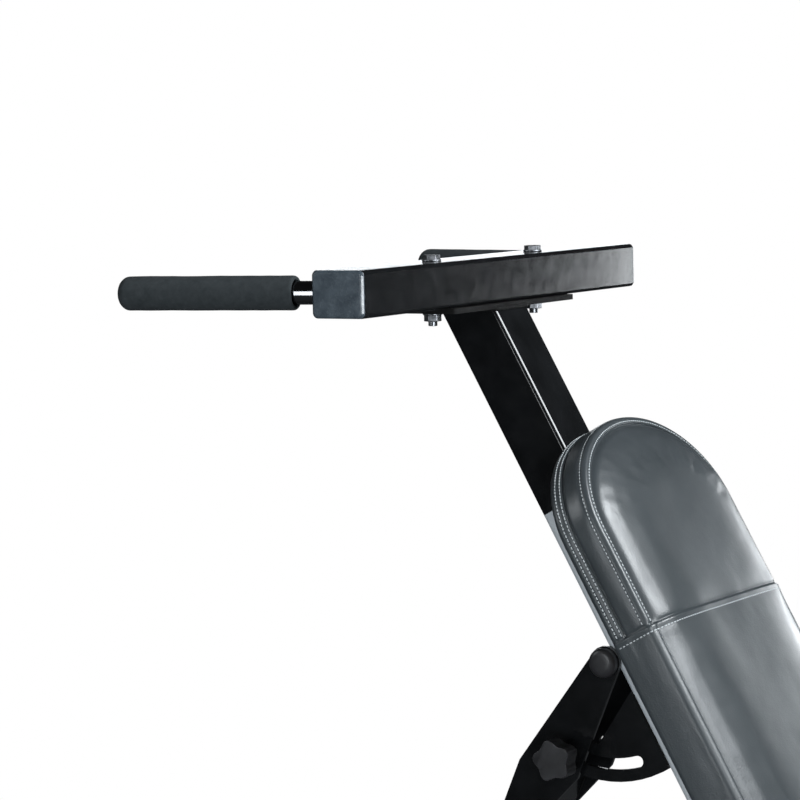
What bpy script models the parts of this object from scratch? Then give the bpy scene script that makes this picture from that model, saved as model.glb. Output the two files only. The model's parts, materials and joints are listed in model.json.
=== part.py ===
"""Incline sit up bench with rear handles, a folding rear leg and telescoping ankle rollers.

Metres, +Z up. The bench stands on z = 0 with the middle of its bounding box over the origin. +X points
from the head end, where the handles are, to the foot end. Left is -Y and right is +Y. Two empties
carry what is inclined: RAIL has its x axis down the rail's front face and its z axis out of that face,
and LEG has its x axis down the rear leg and its origin on the leg's pivot.
"""

import math

import bmesh
import bpy
from mathutils import Matrix, Vector

# Driving dimensions
GAP = 0.0003  # clearance that touching pieces keep
LEFT, RIGHT = -1, 1
SIDES = ((LEFT, "left"), (RIGHT, "right"))

HEAD_X = -0.2205  # front face of the cross beam
BEAM_Z = 1.2220  # underside of the cross beam
BEAM_LENGTH, BEAM_DEPTH, BEAM_HEIGHT = 0.6360, 0.0635, 0.0508
BEAM_CORNER = 0.0045
WALL = 0.0030
CAP_FLANGE, CAP_PLUG = 0.0040, 0.0090

HANDLE_SPLAY = math.radians(11.0)
HANDLE_INSET = 0.0355  # rod's centre from the end of the beam
ROD_RADIUS, ROD_IN_BEAM, ROD_IN_GRIP = 0.0127, 0.0400, 0.2250
GRIP_RADIUS, GRIP_START, GRIP_TIP = 0.0186, 0.0365, 0.2415

PLATE_LENGTH, PLATE_DEPTH, PLATE_THICKNESS = 0.2820, 0.0665, 0.0060
PLATE_SHIFT = 0.0120  # the plate reaches further to the right of the post
PLATE_LIP = 0.0030  # how far the plate stands out in front of the beam
FLANGE_BOLT_SPACING = 0.2350

INCLINE = math.radians(61.0)
TUBE, TUBE_WIDTH, TUBE_CORNER = 0.0635, 0.0750, 0.0050  # tube of the post and the rail
POST_LENGTH = 0.2270
SPIGOT_HALF_LENGTH = 0.0900
TRIM_ROOM = 0.0500  # extra length of a sloping tube before its end is trimmed level
TRIM_BLOCK = (0.4000, 0.2000, 0.2000)

PAD_TOP, PAD_BOTTOM, PAD_HALF_WIDTH = 0.1690, 1.1100, 0.1655
PAD_HEAD_LENGTH, PAD_FOOT_CORNER = 0.1170, 0.0600
PAD_BACK, PAD_FRONT = 0.0125, 0.0735  # heights over the rail's front face
BOARD_BACK, BOARD_THICKNESS, BOARD_INSET = 0.0091, 0.0150, 0.0080
PAD_PLATES = {"upper": 0.3200, "lower": 0.9900}
PAD_PLATE_SIZE = (0.0600, 0.1600, 0.0085)
PAD_BOLT_Y = 0.0600

PIVOT_ALONG, PIVOT_DROP = 0.4030, 0.0090  # down the rail, and behind its back face
PIVOT_SLEEVE_RADIUS = 0.0087
LEG_ANGLE = math.radians(67.0)  # rear leg to the floor
LEG_DEPTH, LEG_SETBACK, LEG_TUBE_START = 0.0500, 0.0050, 0.1500
LEG_FOOT_SETBACK = 0.0330  # rear foot bar's middle, behind the line from the pivot down the leg
EAR_INNER, EAR_THICKNESS, EAR_RADIUS, EAR_END = 0.03850, 0.0060, 0.0180, 0.2300
EAR_SHOULDER, EAR_TAPER = 0.0220, 0.0350  # the wide part past the lock, and the slope at the end
LOCK_RADIUS, LOCK_STUD_RADIUS = 0.1150, 0.0060
LEG_TRAVEL = math.radians(40.0)  # how far the leg closes towards the rail
SECTOR_Y, SECTOR_THICKNESS, SECTOR_MARGIN = -0.0318, 0.0060, 0.0200
SECTOR_PAST_STOP, SECTOR_ROOT, SECTOR_INNER_SWEEP = 10, 0.0400, 24  # degrees, metres, degrees
SLOT_CLEARANCE = 0.0005

STABILISER_DEPTH, STABILISER_HEIGHT, STABILISER_LENGTH = 0.0762, 0.0508, 0.5600
FOOT_WALL, FOOT_LENGTH = 0.0050, 0.0500

SLEEVE_ALONG, SLEEVE_OUTER, SLEEVE_TOP = 1.1800, 0.0572, 0.1300
ROLLER_POST_OUTER, ROLLER_POST_START, ROLLER_POST_TOP = 0.0508, 0.0050, 0.1950
ROLLER_TRAVEL, ROLLER_LOCK_HEIGHT, ROLLER_STUD_RADIUS = 0.0800, 0.0950, 0.0050
ROLLER_BAR_HEIGHT, ROLLER_BAR_LENGTH = 0.1700, 0.4400
ROLLER_RADIUS, ROLLER_INNER_Y, ROLLER_OUTER_Y = 0.0450, 0.0400, 0.2000

WHEEL_RADIUS, WHEEL_WIDTH, WHEEL_Y, WHEEL_CLEARANCE = 0.0300, 0.0220, 0.2200, 0.0030
WHEEL_SETBACK, WHEEL_HUB = 0.0340, 0.0103  # the axle's setback from the foot bar
BRACKET_THICKNESS, BRACKET_RADIUS = 0.0050, 0.0110

HEX_SIZES = {  # shank radius, across flats, head height, nut height
    "M8": (0.0040, 0.0130, 0.0053, 0.0065),
    "M10": (0.0050, 0.0170, 0.0068, 0.0085),
    "M12": (0.0060, 0.0190, 0.0075, 0.0100),
}
BOLT_SPARE = 0.0140  # how far a bolt's shank runs past what it clamps

# Derived places
PLATE_UNDERSIDE = BEAM_Z - GAP - PLATE_THICKNESS
RAIL_ORIGIN = Vector((HEAD_X + PLATE_LIP, 0, PLATE_UNDERSIDE - GAP))
STABILISER_Z = FOOT_WALL + GAP
STABILISER_TOP = STABILISER_Z + STABILISER_HEIGHT
DOWN_RAIL = Vector((math.cos(INCLINE), 0, -math.sin(INCLINE)))
OFF_RAIL = Vector((math.sin(INCLINE), 0, math.cos(INCLINE)))
M8, M10, M12 = (HEX_SIZES[size][0] for size in ("M8", "M10", "M12"))
PIVOT = RAIL_ORIGIN + PIVOT_ALONG * DOWN_RAIL - (TUBE + PIVOT_DROP) * OFF_RAIL
DOWN_LEG = Vector((-math.cos(LEG_ANGLE), 0, -math.sin(LEG_ANGLE)))
LEG_OPENING = math.pi - INCLINE - LEG_ANGLE  # between the rail and the leg
LEG_WIDTH = 2 * (EAR_INNER - GAP)

FINISHES = {
    "black_paint": ((0.022, 0.023, 0.025), 0.34, 0.55),
    "grey_paint": ((0.46, 0.48, 0.49), 0.38, 0.60),
    "black_chrome": ((0.045, 0.045, 0.050), 0.12, 1.00),
    "zinc": ((0.52, 0.53, 0.54), 0.35, 1.00),
    "black_plastic": ((0.085, 0.092, 0.100), 0.50, 0.00),
    "foam": ((0.030, 0.033, 0.036), 0.95, 0.00),
    "leather": ((0.025, 0.028, 0.031), 0.42, 0.00),
    "plywood": ((0.420, 0.290, 0.170), 0.75, 0.00),
    "rubber": ((0.020, 0.020, 0.021), 0.80, 0.00),
    "knob_plastic": ((0.030, 0.030, 0.032), 0.35, 0.00),
}

ALONG_X = (0, math.pi / 2, 0)
ALONG_Y = (math.pi / 2, 0, 0)  # turns +z to -y
TOWARDS_RIGHT = (-math.pi / 2, 0, 0)  # turns +z to +y
UPSIDE_DOWN = (math.pi, 0, 0)


def clear_scene():
    for old in list(bpy.data.objects):
        bpy.data.objects.remove(old, do_unlink=True)


def new_collection(name, hidden=False):
    collection = bpy.data.collections.new(name)
    bpy.context.scene.collection.children.link(collection)
    collection.hide_render = hidden
    return collection


def new_finish(name):
    colour, roughness, metallic = FINISHES[name]
    finish = bpy.data.materials.new(name)
    finish.use_nodes = True
    shader = finish.node_tree.nodes["Principled BSDF"]
    shader.inputs["Base Color"].default_value = (*colour, 1)
    shader.inputs["Roughness"].default_value = roughness
    shader.inputs["Metallic"].default_value = metallic
    finish.diffuse_color = (*colour, 1)
    return finish


def new_frame(name, location, rotation):
    """An empty that inclined parts are parented to."""
    frame = bpy.data.objects.new(name, None)
    frame.location = location
    frame.rotation_euler = rotation
    PARTS.objects.link(frame)
    return frame


def add(name, mesh, finish=None, frame=None, at=(0, 0, 0), turn=(0, 0, 0)):
    """Places a mesh as a part, or as a cutter when it has no finish."""
    part = bpy.data.objects.new(name, mesh)
    part.location = at
    part.rotation_euler = turn
    part.parent = frame
    if finish is None:
        CUTTERS.objects.link(part)
        part.hide_render = True
        part.display_type = "WIRE"
    else:
        PARTS.objects.link(part)
        mesh.materials.append(MATERIALS[finish])
        mesh.shade_smooth()
        mesh.set_sharp_from_angle(angle=math.radians(35))
    return part


def boolean(part, other, operation):
    modifier = part.modifiers.new(f"{operation.lower()} {other.name}", "BOOLEAN")
    modifier.operation = operation
    modifier.object = other


def cut(part, cutter):
    boolean(part, cutter, "DIFFERENCE")


def join(part, addition):
    boolean(part, addition, "UNION")


def trim(part, x, z, above):
    """Cuts level, at height z, the end of a sloping tube near x."""
    half_height = TRIM_BLOCK[2] / 2
    at = (x, 0, z + half_height if above else z - half_height)
    cut(part, add(f"{part.name}_trim", block(*TRIM_BLOCK), at=at))


def block(size_x, size_y, size_z):
    """A box mesh centred on its origin."""
    mesh = bpy.data.meshes.new("block")
    bm = bmesh.new()
    bmesh.ops.create_cube(bm, size=1, matrix=Matrix.Diagonal((size_x, size_y, size_z, 1)))
    bm.to_mesh(mesh)
    bm.free()
    return mesh


def prism(sides, radius, low, high):
    """A regular prism or a cylinder along z, from low to high."""
    mesh = bpy.data.meshes.new("prism")
    bm = bmesh.new()
    middle = Matrix.Translation((0, 0, (low + high) / 2))
    bmesh.ops.create_cone(
        bm, cap_ends=True, segments=sides, radius1=radius, radius2=radius, depth=high - low, matrix=middle
    )
    bm.to_mesh(mesh)
    bm.free()
    return mesh


def arc(centre, radius, start, end, steps, stretch=1.0):
    """Points on an arc in degrees; stretch scales its x half-axis, for an ellipse."""
    angles = [math.radians(start + (end - start) * i / steps) for i in range(steps + 1)]
    return [(centre[0] + stretch * radius * math.cos(a), centre[1] + radius * math.sin(a)) for a in angles]


def polar(centre, radius, angle):
    """The point at this distance from the centre, at an angle in degrees."""
    return arc(centre, radius, angle, angle, 1)[0]


def rounded_rectangle(size_x, size_y, radius, steps=3):
    inner_x, inner_y = size_x / 2 - radius, size_y / 2 - radius
    corners = ((inner_x, inner_y), (-inner_x, inner_y), (-inner_x, -inner_y), (inner_x, -inner_y))
    points = []
    for quarter, centre in enumerate(corners):
        points += arc(centre, radius, 90 * quarter, 90 * quarter + 90, steps)
    return points


def circle(centre, radius, steps=20):
    return arc(centre, radius, 0, 360, steps)[:-1]


def extrusion(outlines, low, high):
    """A flat outline in xy, with any further outlines as holes, drawn out along z from low to high."""
    curve = bpy.data.curves.new("outline", "CURVE")
    curve.dimensions = "2D"
    curve.fill_mode = "BOTH"
    curve.extrude = (high - low) / 2
    for outline in outlines:
        spline = curve.splines.new("POLY")
        spline.points.add(len(outline) - 1)
        for point, (x, y) in zip(spline.points, outline):
            point.co = (x, y, 0, 1)
        spline.use_cyclic_u = True
    drawn = bpy.data.objects.new("outline", curve)
    PARTS.objects.link(drawn)
    graph = bpy.context.evaluated_depsgraph_get()
    mesh = bpy.data.meshes.new_from_object(drawn.evaluated_get(graph))
    bpy.data.objects.remove(drawn)
    mesh.materials.clear()
    bm = bmesh.new()
    bm.from_mesh(mesh)
    bmesh.ops.remove_doubles(bm, verts=bm.verts, dist=1e-5)
    bmesh.ops.translate(bm, verts=bm.verts, vec=(0, 0, (low + high) / 2))
    bmesh.ops.recalc_face_normals(bm, faces=bm.faces)
    bm.to_mesh(mesh)
    bm.free()
    return mesh


def box_tube(size_x, size_y, low, high, corner=TUBE_CORNER, wall=WALL):
    """A rectangular hollow section along z."""
    outer = rounded_rectangle(size_x, size_y, corner)
    inner = rounded_rectangle(size_x - 2 * wall, size_y - 2 * wall, corner - wall, steps=2)
    return extrusion([outer, inner], low, high)


def turned(profile, closed=False):
    """A mesh of profile edges (radius, z) that Screw turns about z."""
    mesh = bpy.data.meshes.new("profile")
    points = [(radius, 0, z) for radius, z in profile]
    edges = [(i, i + 1) for i in range(len(points) - 1)]
    if closed:
        edges.append((len(points) - 1, 0))
    mesh.from_pydata(points, edges, [])
    return mesh


def spin(part, steps=20):
    modifier = part.modifiers.new("turn", "SCREW")
    modifier.axis = "Z"
    modifier.steps = steps
    modifier.render_steps = steps
    modifier.use_merge_vertices = True
    modifier.merge_threshold = 1e-5
    return part


def ring(outer, bore, low, high):
    """Profile of a plain bush, which Screw turns about z."""
    return turned([(outer, high), (outer, low), (bore, low), (bore, high)], closed=True)


def bevel(part, width, segments=1, limit=40):
    modifier = part.modifiers.new("rounded edges", "BEVEL")
    modifier.width = width
    modifier.segments = segments
    modifier.limit_method = "ANGLE"
    modifier.angle_limit = math.radians(limit)


def hex_prism(across_flats, low, high):
    return prism(6, across_flats / math.sqrt(3), low, high)


def hex_bolt(name, size, length, **place):
    """A hex bolt along z: its shank starts at z = 0 and its head stands on the +z side."""
    radius, across_flats, head, _ = HEX_SIZES[size]
    bolt = add(name, hex_prism(across_flats, 0, head), "zinc", **place)
    join(bolt, add(f"{name}_shank", prism(16, radius, -length, head / 2), **place))


def hex_nut(name, size, **place):
    """A hex nut on z, below z = 0."""
    radius, across_flats, _, height = HEX_SIZES[size]
    nut = add(name, hex_prism(across_flats, -height, 0), "zinc", **place)
    cut(nut, add(f"{name}_bore", prism(16, radius + GAP, -2 * height, height), **place))


def handle_frame(side):
    """Where a handle leaves the beam's rear face, and the turn that takes z along it."""
    root = Vector((HEAD_X - BEAM_DEPTH, side * (BEAM_LENGTH / 2 - HANDLE_INSET), BEAM_Z + BEAM_HEIGHT / 2))
    along = Vector((-math.cos(HANDLE_SPLAY), side * math.sin(HANDLE_SPLAY), 0))
    return root, along.to_track_quat("Z", "Y").to_euler()


def make_cross_beam():
    middle = (HEAD_X - BEAM_DEPTH / 2, 0, BEAM_Z + BEAM_HEIGHT / 2)
    half = BEAM_LENGTH / 2 - CAP_FLANGE - GAP
    tube = box_tube(BEAM_DEPTH, BEAM_HEIGHT, -half, half, corner=BEAM_CORNER)
    beam = add("cross_beam", tube, "black_paint", at=middle, turn=ALONG_Y)
    for side, word in SIDES:
        bolt_at = (middle[0], side * FLANGE_BOLT_SPACING / 2, middle[2])
        bolt_hole = prism(16, M10 + GAP, -BEAM_HEIGHT, BEAM_HEIGHT)
        cut(beam, add(f"beam_bolt_hole_{word}", bolt_hole, at=bolt_at))
        root, turn = handle_frame(side)
        rod_hole = prism(24, ROD_RADIUS + GAP, -ROD_IN_BEAM / 2, ROD_IN_BEAM / 2)
        cut(beam, add(f"beam_rod_hole_{word}", rod_hole, at=root, turn=turn))


def make_beam_cap(side, word):
    outside = (HEAD_X - BEAM_DEPTH / 2, side * BEAM_LENGTH / 2, BEAM_Z + BEAM_HEIGHT / 2)
    turn = ALONG_Y if side == LEFT else TOWARDS_RIGHT
    flange = extrusion([rounded_rectangle(BEAM_DEPTH, BEAM_HEIGHT, BEAM_CORNER)], -CAP_FLANGE, 0)
    cap = add(f"beam_cap_{word}", flange, "black_plastic", at=outside, turn=turn)
    bevel(cap, 0.0012)
    margin = 2 * (WALL + GAP)
    plug_tube = box_tube(
        BEAM_DEPTH - margin,
        BEAM_HEIGHT - margin,
        -CAP_FLANGE - CAP_PLUG,
        -CAP_FLANGE / 2,
        corner=BEAM_CORNER - WALL,
        wall=0.0012,
    )
    plug = add(f"beam_cap_{word}_plug", plug_tube, at=outside, turn=turn)
    join(cap, plug)


def make_handle(side, word):
    root, turn = handle_frame(side)
    rod = prism(24, ROD_RADIUS, -ROD_IN_BEAM, ROD_IN_GRIP)
    add(f"handle_rod_{word}", rod, "black_chrome", at=root, turn=turn)
    dome, lip = 0.0140, 0.0035
    bore = ROD_RADIUS + GAP
    tip = [
        (GRIP_RADIUS * math.sin(a), GRIP_TIP - dome * (1 - math.cos(a)))
        for a in [math.radians(angle) for angle in range(0, 91, 18)]
    ]
    mouth = [(GRIP_RADIUS, GRIP_START + lip), (GRIP_RADIUS - lip, GRIP_START), (bore, GRIP_START)]
    profile = tip + mouth + [(bore, ROD_IN_GRIP + GAP), (0, ROD_IN_GRIP + GAP)]
    spin(add(f"handle_grip_{word}", turned(profile), "foam", at=root, turn=turn))


def make_flange():
    middle_x = HEAD_X + PLATE_LIP - PLATE_DEPTH / 2
    outline = rounded_rectangle(PLATE_DEPTH, PLATE_LENGTH, 0.004, steps=2)
    bolt_x = HEAD_X - BEAM_DEPTH / 2
    holes = [
        circle((bolt_x - middle_x, side * FLANGE_BOLT_SPACING / 2 - PLATE_SHIFT), M10 + GAP, 16)
        for side, _ in SIDES
    ]
    plate = extrusion([outline, *holes], 0, PLATE_THICKNESS)
    add("flange_plate", plate, "black_paint", at=(middle_x, PLATE_SHIFT, PLATE_UNDERSIDE))
    for side, word in SIDES:
        y = side * FLANGE_BOLT_SPACING / 2
        top = (bolt_x, y, BEAM_Z + BEAM_HEIGHT + GAP)
        stack = BEAM_HEIGHT + PLATE_THICKNESS + 2 * GAP
        hex_bolt(f"flange_bolt_{word}", "M10", stack + BOLT_SPARE, at=top)
        hex_nut(f"flange_nut_{word}", "M10", at=(bolt_x, y, PLATE_UNDERSIDE - GAP))


def make_rail():
    """The black head post, the grey rail below it and the spigot that joins them."""
    place = {"frame": RAIL, "at": (0, 0, -TUBE / 2), "turn": ALONG_X}
    post = add("head_post", box_tube(TUBE, TUBE_WIDTH, -TRIM_ROOM, POST_LENGTH), "black_paint", **place)
    trim(post, RAIL_ORIGIN.x, RAIL_ORIGIN.z, above=True)
    rail_end = (RAIL_ORIGIN.z - STABILISER_TOP - GAP) / math.sin(INCLINE) + TRIM_ROOM
    rail = add("main_rail", box_tube(TUBE, TUBE_WIDTH, POST_LENGTH + GAP, rail_end), "grey_paint", **place)
    trim(rail, RAIL_ORIGIN.x + rail_end * math.cos(INCLINE), STABILISER_TOP + GAP, above=False)
    room = 2 * (WALL + GAP)
    low, high = POST_LENGTH - SPIGOT_HALF_LENGTH, POST_LENGTH + SPIGOT_HALF_LENGTH
    spigot = box_tube(TUBE - room, TUBE_WIDTH - room, low, high, corner=0.004)
    add("head_spigot", spigot, "zinc", **place)


def pad_outline(inset):
    """Head end half an ellipse, foot end square with rounded corners; x runs down the rail."""
    half = PAD_HALF_WIDTH - inset
    head_length = PAD_HEAD_LENGTH - inset
    head = arc((PAD_TOP + PAD_HEAD_LENGTH, 0), half, 90, 270, 18, stretch=head_length / half)
    corner = PAD_FOOT_CORNER - inset
    low_x, low_y = PAD_BOTTOM - PAD_FOOT_CORNER, half - corner
    foot = arc((low_x, -low_y), corner, -90, 0, 4) + arc((low_x, low_y), corner, 0, 90, 4)
    return head + foot


def make_pad():
    body = extrusion([pad_outline(0)], PAD_BACK, PAD_FRONT)
    pad = add("backrest_pad", body, "leather", frame=RAIL)
    bevel(pad, 0.012, segments=2)
    pocket = extrusion([pad_outline(BOARD_INSET - GAP)], 0, BOARD_BACK + BOARD_THICKNESS + GAP)
    cut(pad, add("pad_pocket", pocket, frame=RAIL))
    holes = [
        circle((along, side * PAD_BOLT_Y), M8 + GAP, 12)
        for along in PAD_PLATES.values()
        for side, _ in SIDES
    ]
    board = extrusion([pad_outline(BOARD_INSET), *holes], BOARD_BACK, BOARD_BACK + BOARD_THICKNESS)
    add("pad_board", board, "plywood", frame=RAIL)


def make_pad_plates():
    size_x, size_y, thickness = PAD_PLATE_SIZE
    number = 0
    for word, along in PAD_PLATES.items():
        holes = [circle((0, side * PAD_BOLT_Y), M8 + GAP, 12) for side, _ in SIDES]
        plate = extrusion([rounded_rectangle(size_x, size_y, 0.008), *holes], 0, thickness)
        add(f"pad_plate_{word}", plate, "grey_paint", frame=RAIL, at=(along, 0, GAP))
        for side, _ in SIDES:
            number += 1
            under = (along, side * PAD_BOLT_Y, 0)
            reach = BOARD_BACK + BOARD_THICKNESS - 0.001
            place = {"frame": RAIL, "at": under, "turn": UPSIDE_DOWN}
            hex_bolt(f"pad_bolt_{number}", "M8", reach, **place)


def make_pivot():
    """The sleeve under the rail, and the leg's bolt and nut that run through it."""
    sleeve = ring(PIVOT_SLEEVE_RADIUS, M12 + GAP, -TUBE_WIDTH / 2, TUBE_WIDTH / 2)
    behind = (PIVOT_ALONG, 0, -TUBE - PIVOT_DROP)
    spin(add("pivot_sleeve", sleeve, "black_paint", frame=RAIL, at=behind, turn=ALONG_Y), 24)
    outside = EAR_INNER + EAR_THICKNESS + GAP
    head_at = {"frame": LEG, "at": (0, -outside, 0), "turn": ALONG_Y}
    hex_bolt("pivot_bolt", "M12", 2 * outside + BOLT_SPARE, **head_at)
    hex_nut("pivot_nut", "M12", frame=LEG, at=(0, outside, 0), turn=ALONG_Y)


def make_sector():
    """The lock plate: a sector about the pivot, standing on the rail's back face, with an arc slot."""
    centre = (PIVOT_ALONG, -TUBE - PIVOT_DROP)
    outer, inner = LOCK_RADIUS + SECTOR_MARGIN, LOCK_RADIUS - SECTOR_MARGIN
    rail_back = -TUBE - GAP
    first = math.degrees(math.asin((PIVOT_DROP - GAP) / outer))
    last = -math.degrees(LEG_OPENING) - SECTOR_PAST_STOP
    outline = arc(centre, outer, first, last, 12) + arc(centre, inner, last, last + SECTOR_INNER_SWEEP, 4)
    outline.append((PIVOT_ALONG + SECTOR_ROOT, rail_back))
    half_slot = LOCK_STUD_RADIUS + SLOT_CLEARANCE
    opened = -math.degrees(LEG_OPENING)
    closed = opened + math.degrees(LEG_TRAVEL)
    slot = arc(centre, LOCK_RADIUS + half_slot, opened, closed, 10)
    slot += arc(polar(centre, LOCK_RADIUS, closed), half_slot, closed, closed + 180, 8)[1:-1]
    slot += arc(centre, LOCK_RADIUS - half_slot, closed, opened, 10)
    slot += arc(polar(centre, LOCK_RADIUS, opened), half_slot, opened + 180, opened + 360, 8)[1:-1]
    plate = extrusion([outline, slot], -SECTOR_THICKNESS / 2, SECTOR_THICKNESS / 2)
    add("leg_sector", plate, "black_paint", frame=RAIL, at=(0, SECTOR_Y, 0), turn=ALONG_Y)


def make_rear_leg():
    lean = DOWN_LEG.cross(Vector((0, -1, 0)))  # the LEG frame's z axis, towards the rail
    tube_middle = -LEG_SETBACK - LEG_DEPTH / 2
    leg_end = (PIVOT.z + lean.z * tube_middle - STABILISER_TOP) / math.sin(LEG_ANGLE) + TRIM_ROOM
    tube = box_tube(LEG_DEPTH, LEG_WIDTH, LEG_TUBE_START, leg_end)
    place = {"frame": LEG, "at": (0, 0, tube_middle), "turn": ALONG_X}
    leg = add("rear_leg", tube, "black_paint", **place)
    trim(leg, PIVOT.x + leg_end * DOWN_LEG.x, STABILISER_TOP + GAP, above=False)
    back = -LEG_SETBACK - LEG_DEPTH
    outline = arc((0, 0), EAR_RADIUS, 90, 270, 10)
    outline += [(LEG_TUBE_START, back), (EAR_END, back), (EAR_END, -LEG_SETBACK)]
    outline += [(EAR_END - EAR_TAPER, -LEG_SETBACK), (LOCK_RADIUS + EAR_SHOULDER, EAR_RADIUS)]
    holes = [circle((0, 0), M12 + GAP, 16), circle((LOCK_RADIUS, 0), LOCK_STUD_RADIUS + GAP, 16)]
    for side, word in SIDES:
        ear = extrusion([outline, *holes], -EAR_THICKNESS / 2, EAR_THICKNESS / 2)
        at = (0, side * (EAR_INNER + EAR_THICKNESS / 2), 0)
        add(f"leg_ear_{word}", ear, "black_paint", frame=LEG, at=at, turn=ALONG_Y)


def clamp_knob(prefix, radius, tip, boss_length, frame, at, turn):
    """A clamp knob along z: its boss stands on z = 0 and its stud's end reaches down to -tip."""
    place = {"frame": frame, "at": at, "turn": turn}
    boss_radius, stud_in_knob, chamfer = radius * 1.9, 0.0150, 0.0010
    spin(add(f"{prefix}_boss", ring(boss_radius, radius + GAP, GAP, boss_length), "black_paint", **place))
    stud_top = boss_length + stud_in_knob
    stud = [(0, stud_top), (radius, stud_top), (radius, chamfer - tip), (radius - chamfer, -tip), (0, -tip)]
    spin(add(f"{prefix}_stud", turned(stud), "zinc", **place), 16)
    lobes, lobe_depth, points, reach = 5, 0.12, 40, radius + 0.0150
    outline = []
    for step in range(points):
        angle = 360 * step / points
        swell = 1 + lobe_depth * math.cos(math.radians(lobes * angle))
        outline.append(polar((0, 0), reach * swell, angle))
    low, height = boss_length + 0.0010, 0.0230
    knob = add(f"{prefix}_knob", extrusion([outline], low, low + height), "knob_plastic", **place)
    bevel(knob, 0.0030, segments=2)
    socket = prism(16, radius + GAP, low - height, stud_top + GAP)
    cut(knob, add(f"{prefix}_knob_socket", socket, **place))


def make_leg_lock():
    at = (LOCK_RADIUS, -EAR_INNER - EAR_THICKNESS, 0)
    stud_reach, boss_length = 0.0180, 0.0220
    clamp_knob("leg_lock", LOCK_STUD_RADIUS, stud_reach, boss_length, LEG, at, ALONG_Y)


def make_stabiliser(end, middle_x):
    """A foot bar across the bench, with a rubber foot over each end."""
    tube = box_tube(STABILISER_DEPTH, STABILISER_HEIGHT, -STABILISER_LENGTH / 2, STABILISER_LENGTH / 2)
    at = (middle_x, 0, STABILISER_Z + STABILISER_HEIGHT / 2)
    add(f"{end}_stabiliser", tube, "black_paint", at=at, turn=ALONG_Y)
    outer_x, outer_z, corner = STABILISER_DEPTH + 2 * FOOT_WALL, STABILISER_HEIGHT + 2 * FOOT_WALL, 0.0080
    for side, word in SIDES:
        turn = ALONG_Y if side == LEFT else TOWARDS_RIGHT
        outside = (middle_x, side * (STABILISER_LENGTH / 2 + FOOT_WALL), at[2] - GAP)
        shell = extrusion([rounded_rectangle(outer_x, outer_z, corner)], -FOOT_LENGTH, 0)
        foot = add(f"{end}_foot_{word}", shell, "rubber", at=outside, turn=turn)
        bevel(foot, 0.0015)
        room_x, room_z = STABILISER_DEPTH + 2 * GAP, STABILISER_HEIGHT + 2 * GAP
        pocket = extrusion(
            [rounded_rectangle(room_x, room_z, TUBE_CORNER)], -2 * FOOT_LENGTH, GAP - FOOT_WALL
        )
        cut(foot, add(f"{end}_foot_pocket_{word}", pocket, at=(*outside[:2], at[2]), turn=turn))


def make_wheel(side, word):
    """A transport wheel on a bracket behind the rear foot bar."""
    y = side * WHEEL_Y
    axle = (REAR_X - STABILISER_DEPTH / 2 - WHEEL_SETBACK, WHEEL_RADIUS + WHEEL_CLEARANCE)
    back, corner = REAR_X - STABILISER_DEPTH / 2 - GAP, 0.0060
    outline = [(back, STABILISER_TOP - corner), (back, STABILISER_Z + corner)]
    outline += arc(axle, BRACKET_RADIUS, -60, -240, 8)
    holes = [circle(axle, M8 + GAP, 12)]
    half, bore, play = WHEEL_WIDTH / 2, M8 + GAP, 0.0010
    bracket_y = y - side * (half + play + BRACKET_THICKNESS / 2)
    plate = extrusion([outline, *holes], -BRACKET_THICKNESS / 2, BRACKET_THICKNESS / 2)
    add(f"wheel_bracket_{word}", plate, "black_paint", at=(0, bracket_y, 0), turn=ALONG_Y)
    edge, dish, rim = 0.0030, WHEEL_RADIUS * 0.62, WHEEL_RADIUS * 0.72
    outer_half = [
        (WHEEL_HUB, half),
        (dish, half * 0.75),
        (rim, half),
        (WHEEL_RADIUS - edge, half),
        (WHEEL_RADIUS, half - edge),
    ]
    inner_half = [(radius, -z) for radius, z in reversed(outer_half)]
    profile = outer_half + inner_half + [(bore, -half), (bore, half)]
    at = (axle[0], y, axle[1])
    turn = ALONG_Y if side == LEFT else TOWARDS_RIGHT
    spin(add(f"wheel_{word}", turned(profile, closed=True), "rubber", at=at, turn=turn), 24)
    head_at = (axle[0], y + side * (half + play), axle[1])
    reach = WHEEL_WIDTH + 2 * play + BRACKET_THICKNESS + HEX_SIZES["M8"][3]
    hex_bolt(f"wheel_bolt_{word}", "M8", reach, at=head_at, turn=turn)


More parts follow.
